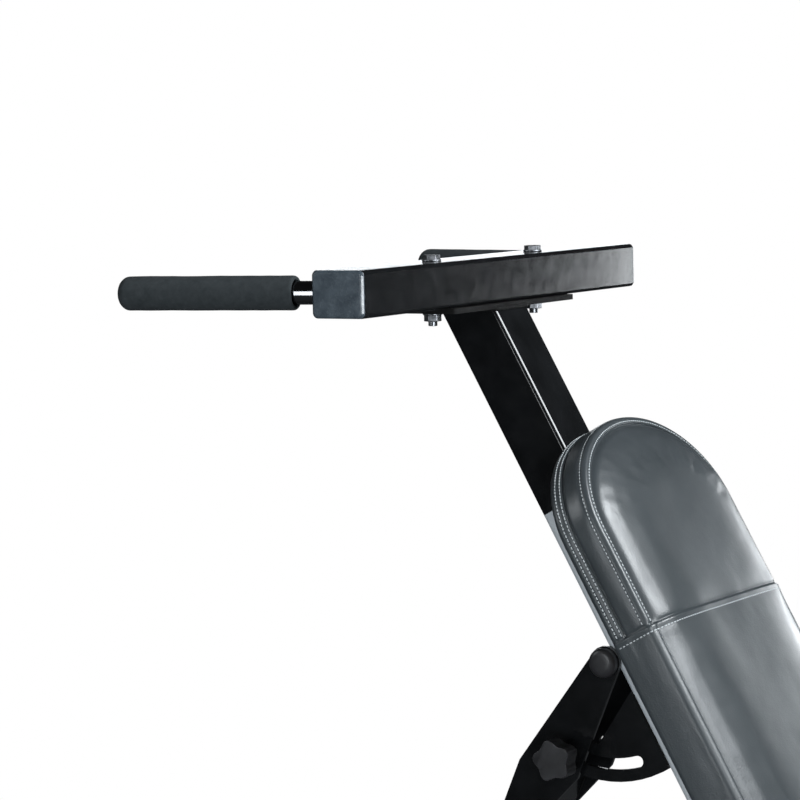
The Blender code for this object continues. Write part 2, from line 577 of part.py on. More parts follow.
def make_ankle_rollers():
    sleeve = box_tube(SLEEVE_OUTER, SLEEVE_OUTER, GAP, SLEEVE_TOP, wall=0.0029)
    outer = add("roller_sleeve", sleeve, "black_paint", frame=RAIL, at=(SLEEVE_ALONG, 0, 0))
    post_tube = box_tube(ROLLER_POST_OUTER, ROLLER_POST_OUTER, ROLLER_POST_START, ROLLER_POST_TOP)
    post = add("roller_post", post_tube, "zinc", frame=RAIL, at=(SLEEVE_ALONG, 0, 0))
    stud_radius = ROLLER_STUD_RADIUS + SLOT_CLEARANCE
    lock_at = (SLEEVE_ALONG, 0, ROLLER_LOCK_HEIGHT)
    stud_hole = prism(16, ROLLER_STUD_RADIUS + GAP, 0, SLEEVE_OUTER)
    cut(outer, add("sleeve_stud_hole", stud_hole, frame=RAIL, at=lock_at, turn=ALONG_X))
    slot = rounded_rectangle(ROLLER_TRAVEL + 2 * stud_radius, 2 * stud_radius, stud_radius * 0.999, steps=5)
    slot_at = (SLEEVE_ALONG, 0, ROLLER_LOCK_HEIGHT - ROLLER_TRAVEL / 2)
    cut(post, add("post_slot", extrusion([slot], 0, SLEEVE_OUTER), frame=RAIL, at=slot_at, turn=ALONG_X))
    bar_at = (SLEEVE_ALONG, 0, ROLLER_BAR_HEIGHT)
    bar_hole = prism(24, ROD_RADIUS + GAP, -SLEEVE_OUTER, SLEEVE_OUTER)
    cut(post, add("post_bar_hole", bar_hole, frame=RAIL, at=bar_at, turn=ALONG_Y))
    bar = prism(24, ROD_RADIUS, -ROLLER_BAR_LENGTH / 2, ROLLER_BAR_LENGTH / 2)
    add("roller_bar", bar, "black_chrome", frame=RAIL, at=bar_at, turn=ALONG_Y)
    for side, word in SIDES:
        make_roller(side, word, bar_at)
    boss_at = (SLEEVE_ALONG + SLEEVE_OUTER / 2, 0, ROLLER_LOCK_HEIGHT)
    stud_reach, boss_length = 0.0085, 0.0160
    clamp_knob("roller_lock", ROLLER_STUD_RADIUS, stud_reach, boss_length, RAIL, boss_at, ALONG_X)


def make_roller(side, word, bar_at):
    half = (ROLLER_OUTER_Y - ROLLER_INNER_Y) / 2
    bore, edge = ROD_RADIUS + 0.0008, 0.0100
    profile = [
        (ROLLER_RADIUS - edge, half),
        (ROLLER_RADIUS - edge * 0.3, half - edge * 0.3),
        (ROLLER_RADIUS, half - edge),
        (ROLLER_RADIUS, edge - half),
        (ROLLER_RADIUS - edge * 0.3, edge * 0.3 - half),
        (ROLLER_RADIUS - edge, -half),
        (bore, -half),
        (bore, half),
    ]
    middle = (bar_at[0], side * (ROLLER_OUTER_Y + ROLLER_INNER_Y) / 2, bar_at[2])
    turn = ALONG_Y if side == LEFT else TOWARDS_RIGHT
    roller = add(f"ankle_roller_{word}", turned(profile, closed=True), "foam", RAIL, middle, turn)
    spin(roller, 24)
    start, flange, top = ROLLER_OUTER_Y + 0.0010, 0.0215, ROLLER_BAR_LENGTH / 2 + 0.0040
    cap = [
        (0, top),
        (ROD_RADIUS, top),
        (ROD_RADIUS + 0.0035, top - 0.0030),
        (ROD_RADIUS + 0.0035, start + 0.0050),
        (flange, start + 0.0040),
        (flange, start),
        (ROD_RADIUS + GAP, start),
        (ROD_RADIUS + GAP, ROLLER_BAR_LENGTH / 2 + GAP),
        (0, ROLLER_BAR_LENGTH / 2 + GAP),
    ]
    end_at = (bar_at[0], 0, bar_at[2])
    spin(add(f"roller_cap_{word}", turned(cap), "black_plastic", RAIL, end_at, turn))


clear_scene()
PARTS = new_collection("sit_up_bench")
CUTTERS = new_collection("cutters", hidden=True)
MATERIALS = {finish_name: new_finish(finish_name) for finish_name in FINISHES}
RAIL = new_frame("rail_frame", RAIL_ORIGIN, (0, INCLINE, 0))
LEG = new_frame("leg_frame", PIVOT, (0, math.pi - LEG_ANGLE, 0))
FRONT_X = RAIL_ORIGIN.x + (RAIL_ORIGIN.z - STABILISER_TOP) / math.tan(INCLINE) - TUBE / 2 / math.sin(INCLINE)
REAR_X = PIVOT.x - (PIVOT.z - STABILISER_TOP) / math.tan(LEG_ANGLE) - LEG_FOOT_SETBACK

make_cross_beam()
for side_sign, side_word in SIDES:
    make_beam_cap(side_sign, side_word)
    make_handle(side_sign, side_word)
make_flange()
make_rail()
make_pad()
make_pad_plates()
make_pivot()
make_sector()
make_rear_leg()
make_leg_lock()
make_stabiliser("front", FRONT_X)
make_stabiliser("rear", REAR_X)
for side_sign, side_word in SIDES:
    make_wheel(side_sign, side_word)
make_ankle_rollers()
bpy.context.view_layer.update()
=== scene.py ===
"""Looks of the sit up bench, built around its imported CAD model.

Metres, in the CAD model's own frame: +X from the head end to the foot end, left is -Y, +Z up. Whatever is
inclined is placed with two more frames, both worked out from the CAD joints: the rail's (down the rail,
across, off its front face) and the rear leg's (down the leg, across, towards the rail).
"""

import json
import math

import bmesh
import bpy
from mathutils import Matrix, Vector, noise
from mathutils.kdtree import KDTree


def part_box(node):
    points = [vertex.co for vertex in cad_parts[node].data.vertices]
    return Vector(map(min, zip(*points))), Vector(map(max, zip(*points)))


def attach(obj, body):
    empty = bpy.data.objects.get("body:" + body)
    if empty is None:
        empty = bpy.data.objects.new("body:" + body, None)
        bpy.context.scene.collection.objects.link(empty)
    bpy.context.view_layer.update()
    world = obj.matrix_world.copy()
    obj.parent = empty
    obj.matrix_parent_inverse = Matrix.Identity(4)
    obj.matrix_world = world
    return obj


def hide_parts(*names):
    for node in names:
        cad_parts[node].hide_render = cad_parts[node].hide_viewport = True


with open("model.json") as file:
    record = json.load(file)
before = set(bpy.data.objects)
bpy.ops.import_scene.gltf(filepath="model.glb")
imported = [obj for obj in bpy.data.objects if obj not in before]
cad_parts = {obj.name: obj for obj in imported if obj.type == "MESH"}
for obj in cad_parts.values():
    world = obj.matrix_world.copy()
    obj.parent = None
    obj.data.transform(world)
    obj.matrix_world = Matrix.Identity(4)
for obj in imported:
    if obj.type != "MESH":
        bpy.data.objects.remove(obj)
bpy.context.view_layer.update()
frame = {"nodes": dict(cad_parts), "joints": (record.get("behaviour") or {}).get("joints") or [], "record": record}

GAP = 0.0003  # clearance between touching CAD pieces
SIDES = ((-1, "left"), (1, "right"))
ACROSS = Vector((0, 1, 0))
UP = Vector((0, 0, 1))
JOINTS = {joint["name"]: joint for joint in frame["joints"]}
BODY_OF = {node: body for body, nodes in frame["record"]["behaviour"]["bodies"].items() for node in nodes}
SLOT_OF = {part["node"]: part["material_slot"] for part in frame["record"]["subparts"]}

PLATE_LOW, PLATE_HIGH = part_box("flange_plate")
BEAM_LOW, BEAM_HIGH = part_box("cross_beam")
OFF_RAIL = Vector(JOINTS["roller_height"]["axis"]).normalized()
DOWN_RAIL = ACROSS.cross(OFF_RAIL)
RAIL_ORIGIN = Vector((PLATE_HIGH.x, 0, PLATE_LOW.z - GAP))
PIVOT = Vector(JOINTS["leg_fold"]["pos_m"])
LOCK = Vector(JOINTS["leg_lock_turn"]["pos_m"])
DOWN_LEG = Vector((LOCK.x - PIVOT.x, 0, LOCK.z - PIVOT.z)).normalized()
OFF_LEG = DOWN_LEG.cross(ACROSS)


def axes(along, across, out, origin):
    """The matrix of a frame from its three unit axes and its origin."""
    turn = Matrix((along, across, out)).transposed().to_4x4()
    return Matrix.Translation(origin) @ turn


RAIL = axes(DOWN_RAIL, ACROSS, OFF_RAIL, RAIL_ORIGIN)
LEG = axes(DOWN_LEG, ACROSS, OFF_LEG, PIVOT)


def extent(node, place):
    """Lowest and highest corners of a CAD node in a frame of its own."""
    inverse = place.inverted()
    points = [inverse @ vertex.co for vertex in frame["nodes"][node].data.vertices]
    low = Vector([min(point[i] for point in points) for i in range(3)])
    high = Vector([max(point[i] for point in points) for i in range(3)])
    return low, high


def middle_and_size(node):
    low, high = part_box(node)
    return (low + high) / 2, high - low


def face(node, side):
    """The y of a CAD node's outermost face on this side."""
    low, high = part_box(node)
    return low.y if side < 0 else high.y


def in_scene(name, data):
    """A new object of this mesh, light or camera, in the scene."""
    made = bpy.data.objects.new(name, data)
    bpy.context.scene.collection.objects.link(made)
    return made


# ---- camera, floor and light

CAMERA_FROM_BEAM = Vector((1.7892, -2.9724, 0.2087))  # from the beam's near lower front corner
CAMERA_YAW, CAMERA_PITCH, CAMERA_ROLL = 0.5314, 0.08447, -0.02267
LENS = 150.2
LIGHT_COLOUR = (0.93, 0.97, 1.0)
FLOOR_HALF, FADE_START, FADE_END = 30.0, 1.3, 2.6


def link(tree, source, target):
    tree.links.new(source, target)


def set_inputs(node, **inputs):
    """Sets inputs of a shader node by name; spaces in a name are written as underscores."""
    for name, value in inputs.items():
        node.inputs[name.replace("_", " ")].default_value = value
    return node


def new_node(tree, kind, **inputs):
    return set_inputs(tree.nodes.new(kind), **inputs)


def make_camera():
    corner = Vector((BEAM_HIGH.x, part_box("beam_cap_left")[0].y, BEAM_LOW.z))
    right = Vector((math.cos(CAMERA_YAW), math.sin(CAMERA_YAW), 0))
    level = Vector((-math.sin(CAMERA_YAW), math.cos(CAMERA_YAW), 0))
    ahead = level * math.cos(CAMERA_PITCH) - UP * math.sin(CAMERA_PITCH)
    over = right.cross(ahead)
    rolled_right = right * math.cos(CAMERA_ROLL) + over * math.sin(CAMERA_ROLL)
    rolled_over = over * math.cos(CAMERA_ROLL) - right * math.sin(CAMERA_ROLL)
    data = bpy.data.cameras.new("camera")
    data.lens = LENS
    data.clip_end = 100
    camera = in_scene("camera", data)
    camera.matrix_world = axes(rolled_right, rolled_over, -ahead, corner + CAMERA_FROM_BEAM)
    bpy.context.scene.camera = camera


def white_to_camera(tree, dim, target, lit):
    """Shader that is pure white where the camera sees it, and `dim` for light and reflections."""
    path = new_node(tree, "ShaderNodeLightPath")
    mix = new_node(tree, "ShaderNodeMixShader")
    white = new_node(tree, lit, Color=(1, 1, 1, 1))
    link(tree, path.outputs["Is Camera Ray"], mix.inputs[0])
    link(tree, dim, mix.inputs[1])
    link(tree, white.outputs[0], mix.inputs[2])
    link(tree, mix.outputs[0], target)
    return path, mix


def make_world():
    world = bpy.data.worlds.new("studio")
    bpy.context.scene.world = world
    world.use_nodes = True
    tree = world.node_tree
    background = set_inputs(tree.nodes["Background"], Color=(*LIGHT_COLOUR, 1), Strength=0.03)
    output = tree.nodes["World Output"].inputs["Surface"]
    white_to_camera(tree, background.outputs[0], output, "ShaderNodeBackground")


def make_floor():
    """A pale floor that fades to the white of the backdrop away from the bench."""
    mesh = bpy.data.meshes.new("floor")
    bm = bmesh.new()
    bmesh.ops.create_grid(bm, x_segments=8, y_segments=8, size=FLOOR_HALF)
    bm.to_mesh(mesh)
    bm.free()
    floor = in_scene("floor", mesh)
    material, tree = principled("floor", 0.7, Specular_IOR_Level=0.2)
    shader = tree.nodes["Principled BSDF"]
    output = tree.nodes["Material Output"].inputs["Surface"]
    path, mix = white_to_camera(tree, shader.outputs[0], output, "ShaderNodeEmission")
    tone = tree.nodes.new("ShaderNodeMix")
    tone.data_type = "RGBA"
    tone.inputs[6].default_value = (0.06, 0.062, 0.064, 1)  # what it throws back on the bench
    tone.inputs[7].default_value = (0.93, 0.94, 0.95, 1)
    link(tree, path.outputs["Is Camera Ray"], tone.inputs[0])
    link(tree, tone.outputs[2], shader.inputs["Base Color"])
    place = new_node(tree, "ShaderNodeTexCoord")
    length = new_node(tree, "ShaderNodeVectorMath")
    length.operation = "LENGTH"
    link(tree, place.outputs["Object"], length.inputs[0])
    fade = new_node(tree, "ShaderNodeMapRange", From_Min=FADE_START, From_Max=FADE_END)
    fade.interpolation_type = "SMOOTHSTEP"
    link(tree, length.outputs["Value"], fade.inputs["Value"])
    both = new_node(tree, "ShaderNodeMath")
    both.operation = "MULTIPLY"
    link(tree, fade.outputs[0], both.inputs[0])
    link(tree, path.outputs["Is Camera Ray"], both.inputs[1])
    link(tree, both.outputs[0], mix.inputs[0])
    mesh.materials.append(material)


def softbox(name, centre, aim, width, height, radiance, seen_by="both"):
    """An area light of this radiance, unseen by the camera; it can light matt or bright surfaces only."""
    data = bpy.data.lights.new(name, "AREA")
    data.shape = "RECTANGLE"
    data.size, data.size_y = width, height
    data.energy = radiance * math.pi * width * height
    data.color = LIGHT_COLOUR
    light = in_scene(name, data)
    light.location = centre
    light.rotation_euler = (Vector(centre) - Vector(aim)).to_track_quat("Z", "Y").to_euler()
    light.visible_camera = False
    light.visible_glossy = seen_by != "matt"
    light.visible_diffuse = seen_by != "bright"


def make_lights():
    head = Vector((BEAM_HIGH.x, 0, BEAM_LOW.z))
    softbox("key", head + 3.0 * Vector((0.79, 0.03, 0.61)), head, 2.2, 1.4, 22.0)
    softbox("near_fill", head + 3.2 * Vector((0.4, -0.87, -0.3)), head, 2.4, 1.2, 14.5, "matt")
    softbox("near_strip", head + Vector((-0.5, -3.2, -0.1)), head, 0.4, 1.8, 9.0, "bright")
    softbox("left_fill", head + 3.2 * Vector((-0.74, -0.6, 0.3)), head, 1.1, 1.1, 4.5)
    softbox("right_strip", head + Vector((2.57, -1.88, -0.14)), head, 0.6, 0.9, 36.0, "bright")
    softbox("backdrop_right", (0.31, 2.2, 1.08), (0.31, 0, 1.08), 0.8, 0.42, 8.0)
    softbox("backdrop_left", (-1.75, 2.2, 1.3), (-1.75, 0, 1.3), 1.5, 0.4, 2.8)


# ---- materials


def object_place(tree, stretch=(1, 1, 1)):
    """Object coordinates in metres, stretched along the axes."""
    place = tree.nodes.new("ShaderNodeTexCoord")
    mapping = new_node(tree, "ShaderNodeMapping", Scale=stretch)
    link(tree, place.outputs["Object"], mapping.inputs["Vector"])
    return mapping.outputs[0]


def noise_value(tree, scale, detail=3.0, roughness=0.5, place=None):
    made = new_node(tree, "ShaderNodeTexNoise", Scale=scale, Detail=detail, Roughness=roughness)
    link(tree, place or object_place(tree), made.inputs["Vector"])
    return made.outputs["Fac"]


def cells(tree, scale, feature="F1", place=None):
    made = new_node(tree, "ShaderNodeTexVoronoi", Scale=scale)
    made.feature = feature
    link(tree, place or object_place(tree), made.inputs["Vector"])
    return made.outputs["Distance"]


def ranged(tree, value, low, high, to_low, to_high):
    made = new_node(tree, "ShaderNodeMapRange", From_Min=low, From_Max=high, To_Min=to_low, To_Max=to_high)
    link(tree, value, made.inputs["Value"])
    return made.outputs[0]


def colours(tree, value, stops):
    """A colour ramp through (position, colour) stops."""
    ramp = tree.nodes.new("ShaderNodeValToRGB")
    elements = ramp.color_ramp.elements
    while len(elements) < len(stops):
        elements.new(0.5)
    for element, (position, colour) in zip(elements, stops):
        element.position = position
        element.color = (*colour, 1)
    link(tree, value, ramp.inputs[0])
    return ramp.outputs[0]


def bumped(tree, height, strength, distance, normal=None):
    made = new_node(tree, "ShaderNodeBump", Strength=strength, Distance=distance)
    link(tree, height, made.inputs["Height"])
    if normal is not None:
        link(tree, normal, made.inputs["Normal"])
    return made.outputs[0]


def principled(name, roughness, **inputs):
    material = bpy.data.materials.new(name)
    material.use_nodes = True
    set_inputs(material.node_tree.nodes["Principled BSDF"], Roughness=roughness, **inputs)
    return material, material.node_tree


def finished(material, base, normal, rough=None):
    """Links the material's colour, its bump and, where it varies, its roughness."""
    tree = material.node_tree
    shader = tree.nodes["Principled BSDF"]
    link(tree, base, shader.inputs["Base Color"])
    link(tree, normal, shader.inputs["Normal"])
    if rough is not None:
        link(tree, rough, shader.inputs["Roughness"])
    return material


def powder_coat(name, dark, light, rough, peel, shine=0.5):
    """Powder coat: fine orange peel, faint mottling, uneven gloss."""
    material, tree = principled(name, 0.35, Specular_IOR_Level=shine)
    base = colours(tree, noise_value(tree, 22.0, 5.0, 0.62), [(0.35, dark), (0.7, light)])
    gloss = ranged(tree, noise_value(tree, 60.0, 4.0, 0.6), 0.3, 0.7, *rough)
    wavy = bumped(tree, noise_value(tree, 28.0, 2.0), 0.05, 0.002)
    return finished(material, base, bumped(tree, noise_value(tree, 900.0, 2.0), peel, 0.0002, wavy), gloss)


def black_chrome(name):
    """Dark bright plating with hairline polishing marks."""
    material, tree = principled(name, 0.1, Metallic=1.0)
    stops = [(0.3, (0.13, 0.13, 0.135)), (0.7, (0.17, 0.17, 0.175))]
    base = colours(tree, noise_value(tree, 40.0, 3.0), stops)
    marks = noise_value(tree, 300.0, 4.0, 0.7, object_place(tree, (1, 14, 14)))
    gloss = ranged(tree, marks, 0.3, 0.7, 0.07, 0.16)
    return finished(material, base, bumped(tree, marks, 0.05, 0.0001), gloss)


def zinc(name):
    """Zinc plate: spangled grey metal, duller in patches."""
    material, tree = principled(name, 0.35, Metallic=1.0)
    base = colours(tree, cells(tree, 260.0), [(0.1, (0.14, 0.15, 0.16)), (0.6, (0.3, 0.31, 0.33))])
    gloss = ranged(tree, noise_value(tree, 120.0, 5.0, 0.65), 0.3, 0.7, 0.26, 0.48)
    return finished(material, base, bumped(tree, noise_value(tree, 1500.0, 3.0), 0.12, 0.0001), gloss)


def moulded_plastic(name, dark, light, rough):
    """Moulded plastic: spark-eroded grain and a soft cloudiness."""
    material, tree = principled(name, 0.45, Specular_IOR_Level=0.45)
    base = colours(tree, noise_value(tree, 70.0, 5.0, 0.6), [(0.32, dark), (0.7, light)])
    gloss = ranged(tree, noise_value(tree, 240.0, 3.0, 0.6), 0.3, 0.7, *rough)
    grain = noise_value(tree, 1300.0, 4.0, 0.7)
    return finished(material, base, bumped(tree, grain, 0.15, 0.0002), gloss)


def foam(name):
    """Closed-cell foam: matt, with fine open pores over the cut surface."""
    material, tree = principled(name, 0.9, Specular_IOR_Level=0.25)
    stops = [(0.3, (0.016, 0.02, 0.022)), (0.72, (0.028, 0.033, 0.036))]
    base = colours(tree, noise_value(tree, 120.0, 6.0, 0.7), stops)
    pores = bumped(tree, cells(tree, 1400.0), 0.55, 0.0004)
    return finished(material, base, bumped(tree, noise_value(tree, 160.0, 4.0), 0.25, 0.001, pores))


def leather(name):
    """Black upholstery leather: pebbled grain, fine creases, uneven polish."""
    material, tree = principled(name, 0.4, Specular_IOR_Level=0.5, Coat_Weight=0.18, Coat_Roughness=0.26)
    stops = [(0.3, (0.022, 0.027, 0.03)), (0.72, (0.034, 0.04, 0.044))]
    base = colours(tree, noise_value(tree, 9.0, 6.0, 0.62), stops)
    polish = ranged(tree, noise_value(tree, 34.0, 5.0, 0.65), 0.3, 0.72, 0.33, 0.43)
    grain = bumped(tree, cells(tree, 620.0, "SMOOTH_F1"), 0.35, 0.0003)
    creases = bumped(tree, noise_value(tree, 30.0, 8.0, 0.7), 0.06, 0.003, grain)
    soft = bumped(tree, noise_value(tree, 8.0, 3.0, 0.5), 0.12, 0.01, creases)
    return finished(material, base, soft, polish)


def thread(name):
    """Waxed sewing thread, twisted. Its light grey colour is painted sheen: it stands for dark thread that catches
    the light.
    """
    material, tree = principled(name, 0.55, Sheen_Weight=0.3)
    wave = new_node(tree, "ShaderNodeTexWave", Scale=700.0, Distortion=2.0)
    link(tree, object_place(tree, (1, 1, 1.6)), wave.inputs["Vector"])
    twist = wave.outputs["Fac"]
    # light grey stops: painted sheen of dark thread, not the thread's own colour
    base = colours(tree, twist, [(0.2, (0.24, 0.26, 0.27)), (0.8, (0.42, 0.45, 0.46))])
    return finished(material, base, bumped(tree, twist, 0.3, 0.0002))


def plywood(name):
    """Plywood face: long grain with darker pores."""
    material, tree = principled(name, 0.75)
    grain = noise_value(tree, 16.0, 8.0, 0.65, object_place(tree, (1.0, 12.0, 1.0)))
    stops = [(0.28, (0.25, 0.15, 0.08)), (0.52, (0.45, 0.31, 0.18)), (0.74, (0.56, 0.41, 0.25))]
    return finished(material, colours(tree, grain, stops), bumped(tree, grain, 0.3, 0.0008))


def rubber(name):
    """Matt black rubber with a dusty bloom."""
    material, tree = principled(name, 0.75, Specular_IOR_Level=0.35)
    bloom = noise_value(tree, 45.0, 6.0, 0.68)
    base = colours(tree, bloom, [(0.32, (0.014, 0.014, 0.015)), (0.78, (0.042, 0.042, 0.043))])
    grain = bumped(tree, noise_value(tree, 1100.0, 4.0), 0.3, 0.0002)
    return finished(material, base, grain, ranged(tree, bloom, 0.3, 0.7, 0.62, 0.86))


MATERIALS = {}
for coat in (
    ("black_paint", (0.0024, 0.0027, 0.003), (0.0056, 0.0061, 0.0068), (0.13, 0.19), 0.08),
    ("plate_paint", (0.003, 0.003, 0.003), (0.007, 0.007, 0.007), (0.66, 0.8), 0.25, 0.12),
    ("grey_paint", (0.31, 0.335, 0.36), (0.36, 0.385, 0.405), (0.34, 0.46), 0.12),
):
    MATERIALS[coat[0]] = powder_coat(*coat)
for plastic in (
    ("black_plastic", (0.03, 0.04, 0.05), (0.064, 0.08, 0.094), (0.2, 0.32)),
    ("knob_plastic", (0.012, 0.012, 0.013), (0.022, 0.022, 0.024), (0.28, 0.4)),
):
    MATERIALS[plastic[0]] = moulded_plastic(*plastic)
for make in (black_chrome, zinc, foam, leather, thread, plywood, rubber):
    MATERIALS[make.__name__] = make(make.__name__)


# ---- mesh tools


def piece(name, mesh, body, slot, *nodes, material=None):
    """Makes an object of a mesh in the CAD frame; it rides on a body and stands for the CAD nodes."""
    made = in_scene(name, mesh)
    mesh.materials.clear()
    mesh.materials.append(MATERIALS[material or slot])
    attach(made, body)
    if nodes:
        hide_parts(*nodes)
    return made


def smooth_mesh(bm, name, angle=40):
    mesh = bpy.data.meshes.new(name)
    bmesh.ops.recalc_face_normals(bm, faces=bm.faces)
    bm.to_mesh(mesh)
    bm.free()
    mesh.shade_smooth()
    mesh.set_sharp_from_angle(angle=math.radians(angle))
    return mesh


def rounded(made, width, segments=2, limit=35):
    """Rounds the edges of a piece and keeps its flat faces flat in the shading."""
    modifier = made.modifiers.new("rounded edges", "BEVEL")
    modifier.width = width
    modifier.segments = segments
    modifier.limit_method = "ANGLE"
    modifier.angle_limit = math.radians(limit)
    made.modifiers.new("flat faces", "WEIGHTED_NORMAL").keep_sharp = False
    made.data.shade_smooth()
    return made


def refine(node, width=0.0006, segments=2, limit=35, material=None):
    """A CAD solid with its edges rounded."""
    bm = bmesh.new()
    bm.from_mesh(frame["nodes"][node].data)
    bmesh.ops.remove_doubles(bm, verts=bm.verts, dist=2e-6)
    bmesh.ops.dissolve_limit(bm, angle_limit=math.radians(0.6), verts=bm.verts, edges=bm.edges)
    mesh = smooth_mesh(bm, f"{node}_finish", 180)
    made = piece(f"{node}_finish", mesh, BODY_OF[node], SLOT_OF[node], node, material=material)
    return rounded(made, width, segments, limit)


def skin(bm, rings, ends=False):
    """Quads between rings of equally many vertices, and a face over each end."""
    for one, two in zip(rings, rings[1:]):
        for i in range(len(one)):
            j = (i + 1) % len(one)
            bm.faces.new((one[i], one[j], two[j], two[i]))
    if ends:
        bm.faces.new(rings[0])
        bm.faces.new(rings[-1])


def circle(steps):
    return [(math.cos(2 * math.pi * i / steps), math.sin(2 * math.pi * i / steps)) for i in range(steps)]


def loft(name, rings, place, closed_ends=True):
    """A skin over rings of points, in a frame."""
    bm = bmesh.new()
    made = [[bm.verts.new(place @ Vector(point)) for point in ring] for ring in rings]
    skin(bm, made, closed_ends)
    bmesh.ops.remove_doubles(bm, verts=bm.verts, dist=1e-7)
    return smooth_mesh(bm, name)


def lathe(name, profile, place, steps=64, angle=40):
    """A closed profile of (radius, z) turned about the frame's z axis."""
    bm = bmesh.new()
    made = []
    for radius, z in profile:
        made.append([bm.verts.new(place @ Vector((radius * x, radius * y, z))) for x, y in circle(steps)])
    skin(bm, made + made[:1])
    bmesh.ops.remove_doubles(bm, verts=bm.verts, dist=1e-6)
    return smooth_mesh(bm, name, angle)


def about(axis, origin):
    """A frame with its z axis along this direction."""
    across = axis.orthogonal().normalized()
    return axes(across, axis.cross(across), axis, origin)


def fillet(corner, start, end, steps=6):
    """Points of a round from start to end, about the corner where both tangents meet."""
    points = []
    for i in range(steps + 1):
        t = i / steps
        weights = ((1 - t) ** 2, 2 * t * (1 - t), t * t)
        points.append(tuple(
            weights[0] * start[k] + weights[1] * corner[k] + weights[2] * end[k] for k in range(2)
        ))
    return points


def rounded_outline(size_x, size_y, radius, steps=8):
    points = []
    for quarter in range(4):
        sign_x = 1 if quarter in (0, 3) else -1
        sign_y = 1 if quarter < 2 else -1
        centre = (sign_x * (size_x / 2 - radius), sign_y * (size_y / 2 - radius))
        for i in range(steps + 1):
            t = math.pi / 2 * (quarter + i / steps)
            points.append((centre[0] + radius * math.cos(t), centre[1] + radius * math.sin(t)))
    return points


def stepped(size_x, size_y, corner, least, section):
    """Rings of a rounded rectangle at each (inset, height) of a section."""
    rings = []
    for inset, height in section:
        outline = rounded_outline(size_x - 2 * inset, size_y - 2 * inset, max(corner - inset, least))
        rings.append([(x, y, height) for x, y in outline])
    return rings


def weld(name, path, body, radius, closed=True):
    """A weld bead along a path: a half-buried rope of overlapping ripples."""
    points = [Vector(point) for point in path]
    if closed:
        points.append(points[0])
    step = 0.0011
    line = []
    for one, two in zip(points, points[1:]):
        count = max(1, round((two - one).length / step))
        line += [one.lerp(two, i / count) for i in range(count)]
    if not closed:
        line.append(points[-1])
    bm = bmesh.new()
    rings = []
    for i, point in enumerate(line):
        before = line[i - 1] if closed or i else line[0]
        after = line[(i + 1) % len(line)] if closed or i + 1 < len(line) else line[-1]
        ahead = (after - before).normalized()
        side = ahead.cross(UP if abs(ahead.z) < 0.9 else Vector((1, 0, 0))).normalized()
        over = side.cross(ahead)
        ripple = 1 + 0.14 * ((i % 3) / 2 - 0.5) + 0.1 * noise.noise(point * 260)
        reach = radius * ripple
        rings.append([bm.verts.new(point + reach * (side * x + over * y)) for x, y in circle(8)])
    skin(bm, rings + rings[:1] if closed else rings, ends=not closed)
    piece(name, smooth_mesh(bm, name, 80), body, "black_paint", material="plate_paint")


# ---- beam, handles and their bolts


def make_beam_cap(side, word):
    """The moulded end cap: a flange with a soft edge and a face that is very slightly domed."""
    node = f"beam_cap_{word}"
    middle, size = middle_and_size(node)
    flange, edge, corner, dome, plug_wall = 0.004, 0.0021, 0.0062, 0.0004, 0.0012
    outer_end = Vector((middle.x, face(node, side), middle.z))
    place = axes(Vector((1, 0, 0)), UP, Vector((0, side, 0)), outer_end)
    outer = 0.0033  # the tube's wall and the clearance
    inner = outer + plug_wall
    section = [(inner, flange), (inner, size.y), (outer, size.y), (outer, flange)]
    section += [(0.0004, flange), (0, flange - 0.0004), (0, edge + dome + 0.0004), (0.0003, edge + dome)]
    section += [(edge, dome + 0.0003), (edge + 0.0005, dome)]
    section += [(size.z * share, dome * (1 - share / 0.42) ** 2) for share in (0.08, 0.16, 0.26, 0.36, 0.42)]
    rings = stepped(size.x, size.z, corner, 0.0006, [(inset, -depth) for inset, depth in section])
    cap = piece(f"{node}_finish", loft(node, rings, place), "frame", "black_plastic", node)
    cap.modifiers.new("flat faces", "WEIGHTED_NORMAL").keep_sharp = True


def rod_ends(node):
    """The middles of a straight rod's two ends, the one nearer the foot of the bench first."""
    points = [vertex.co for vertex in frame["nodes"][node].data.vertices]
    far = max(points, key=lambda p: (p - points[0]).length)
    ends = []
    for at_far in (True, False):
        cluster = [p for p in points if ((p - far).length < 0.03) == at_far]
        ends.append(sum(cluster, Vector()) / len(cluster))
    return sorted(ends, key=lambda end: -end.x)


def on_rod(start, end, origin):
    """A frame with its z axis along a rod."""
    along = (end - start).normalized()
    across = UP.cross(along).normalized()
    return axes(across, along.cross(across), along, origin)


def dented(mesh, place, reach, *dents):
    """Dents of use, as (depth, noise scale), where a round piece is further than this from its axis."""
    for vertex in mesh.vertices:
        local = place.inverted() @ vertex.co
        out = vertex.co - place @ Vector((0, 0, local.z))
        if out.length > reach:
            dent = sum(depth * noise.noise(vertex.co * scale) for depth, scale in dents)
            vertex.co += out.normalized() * dent


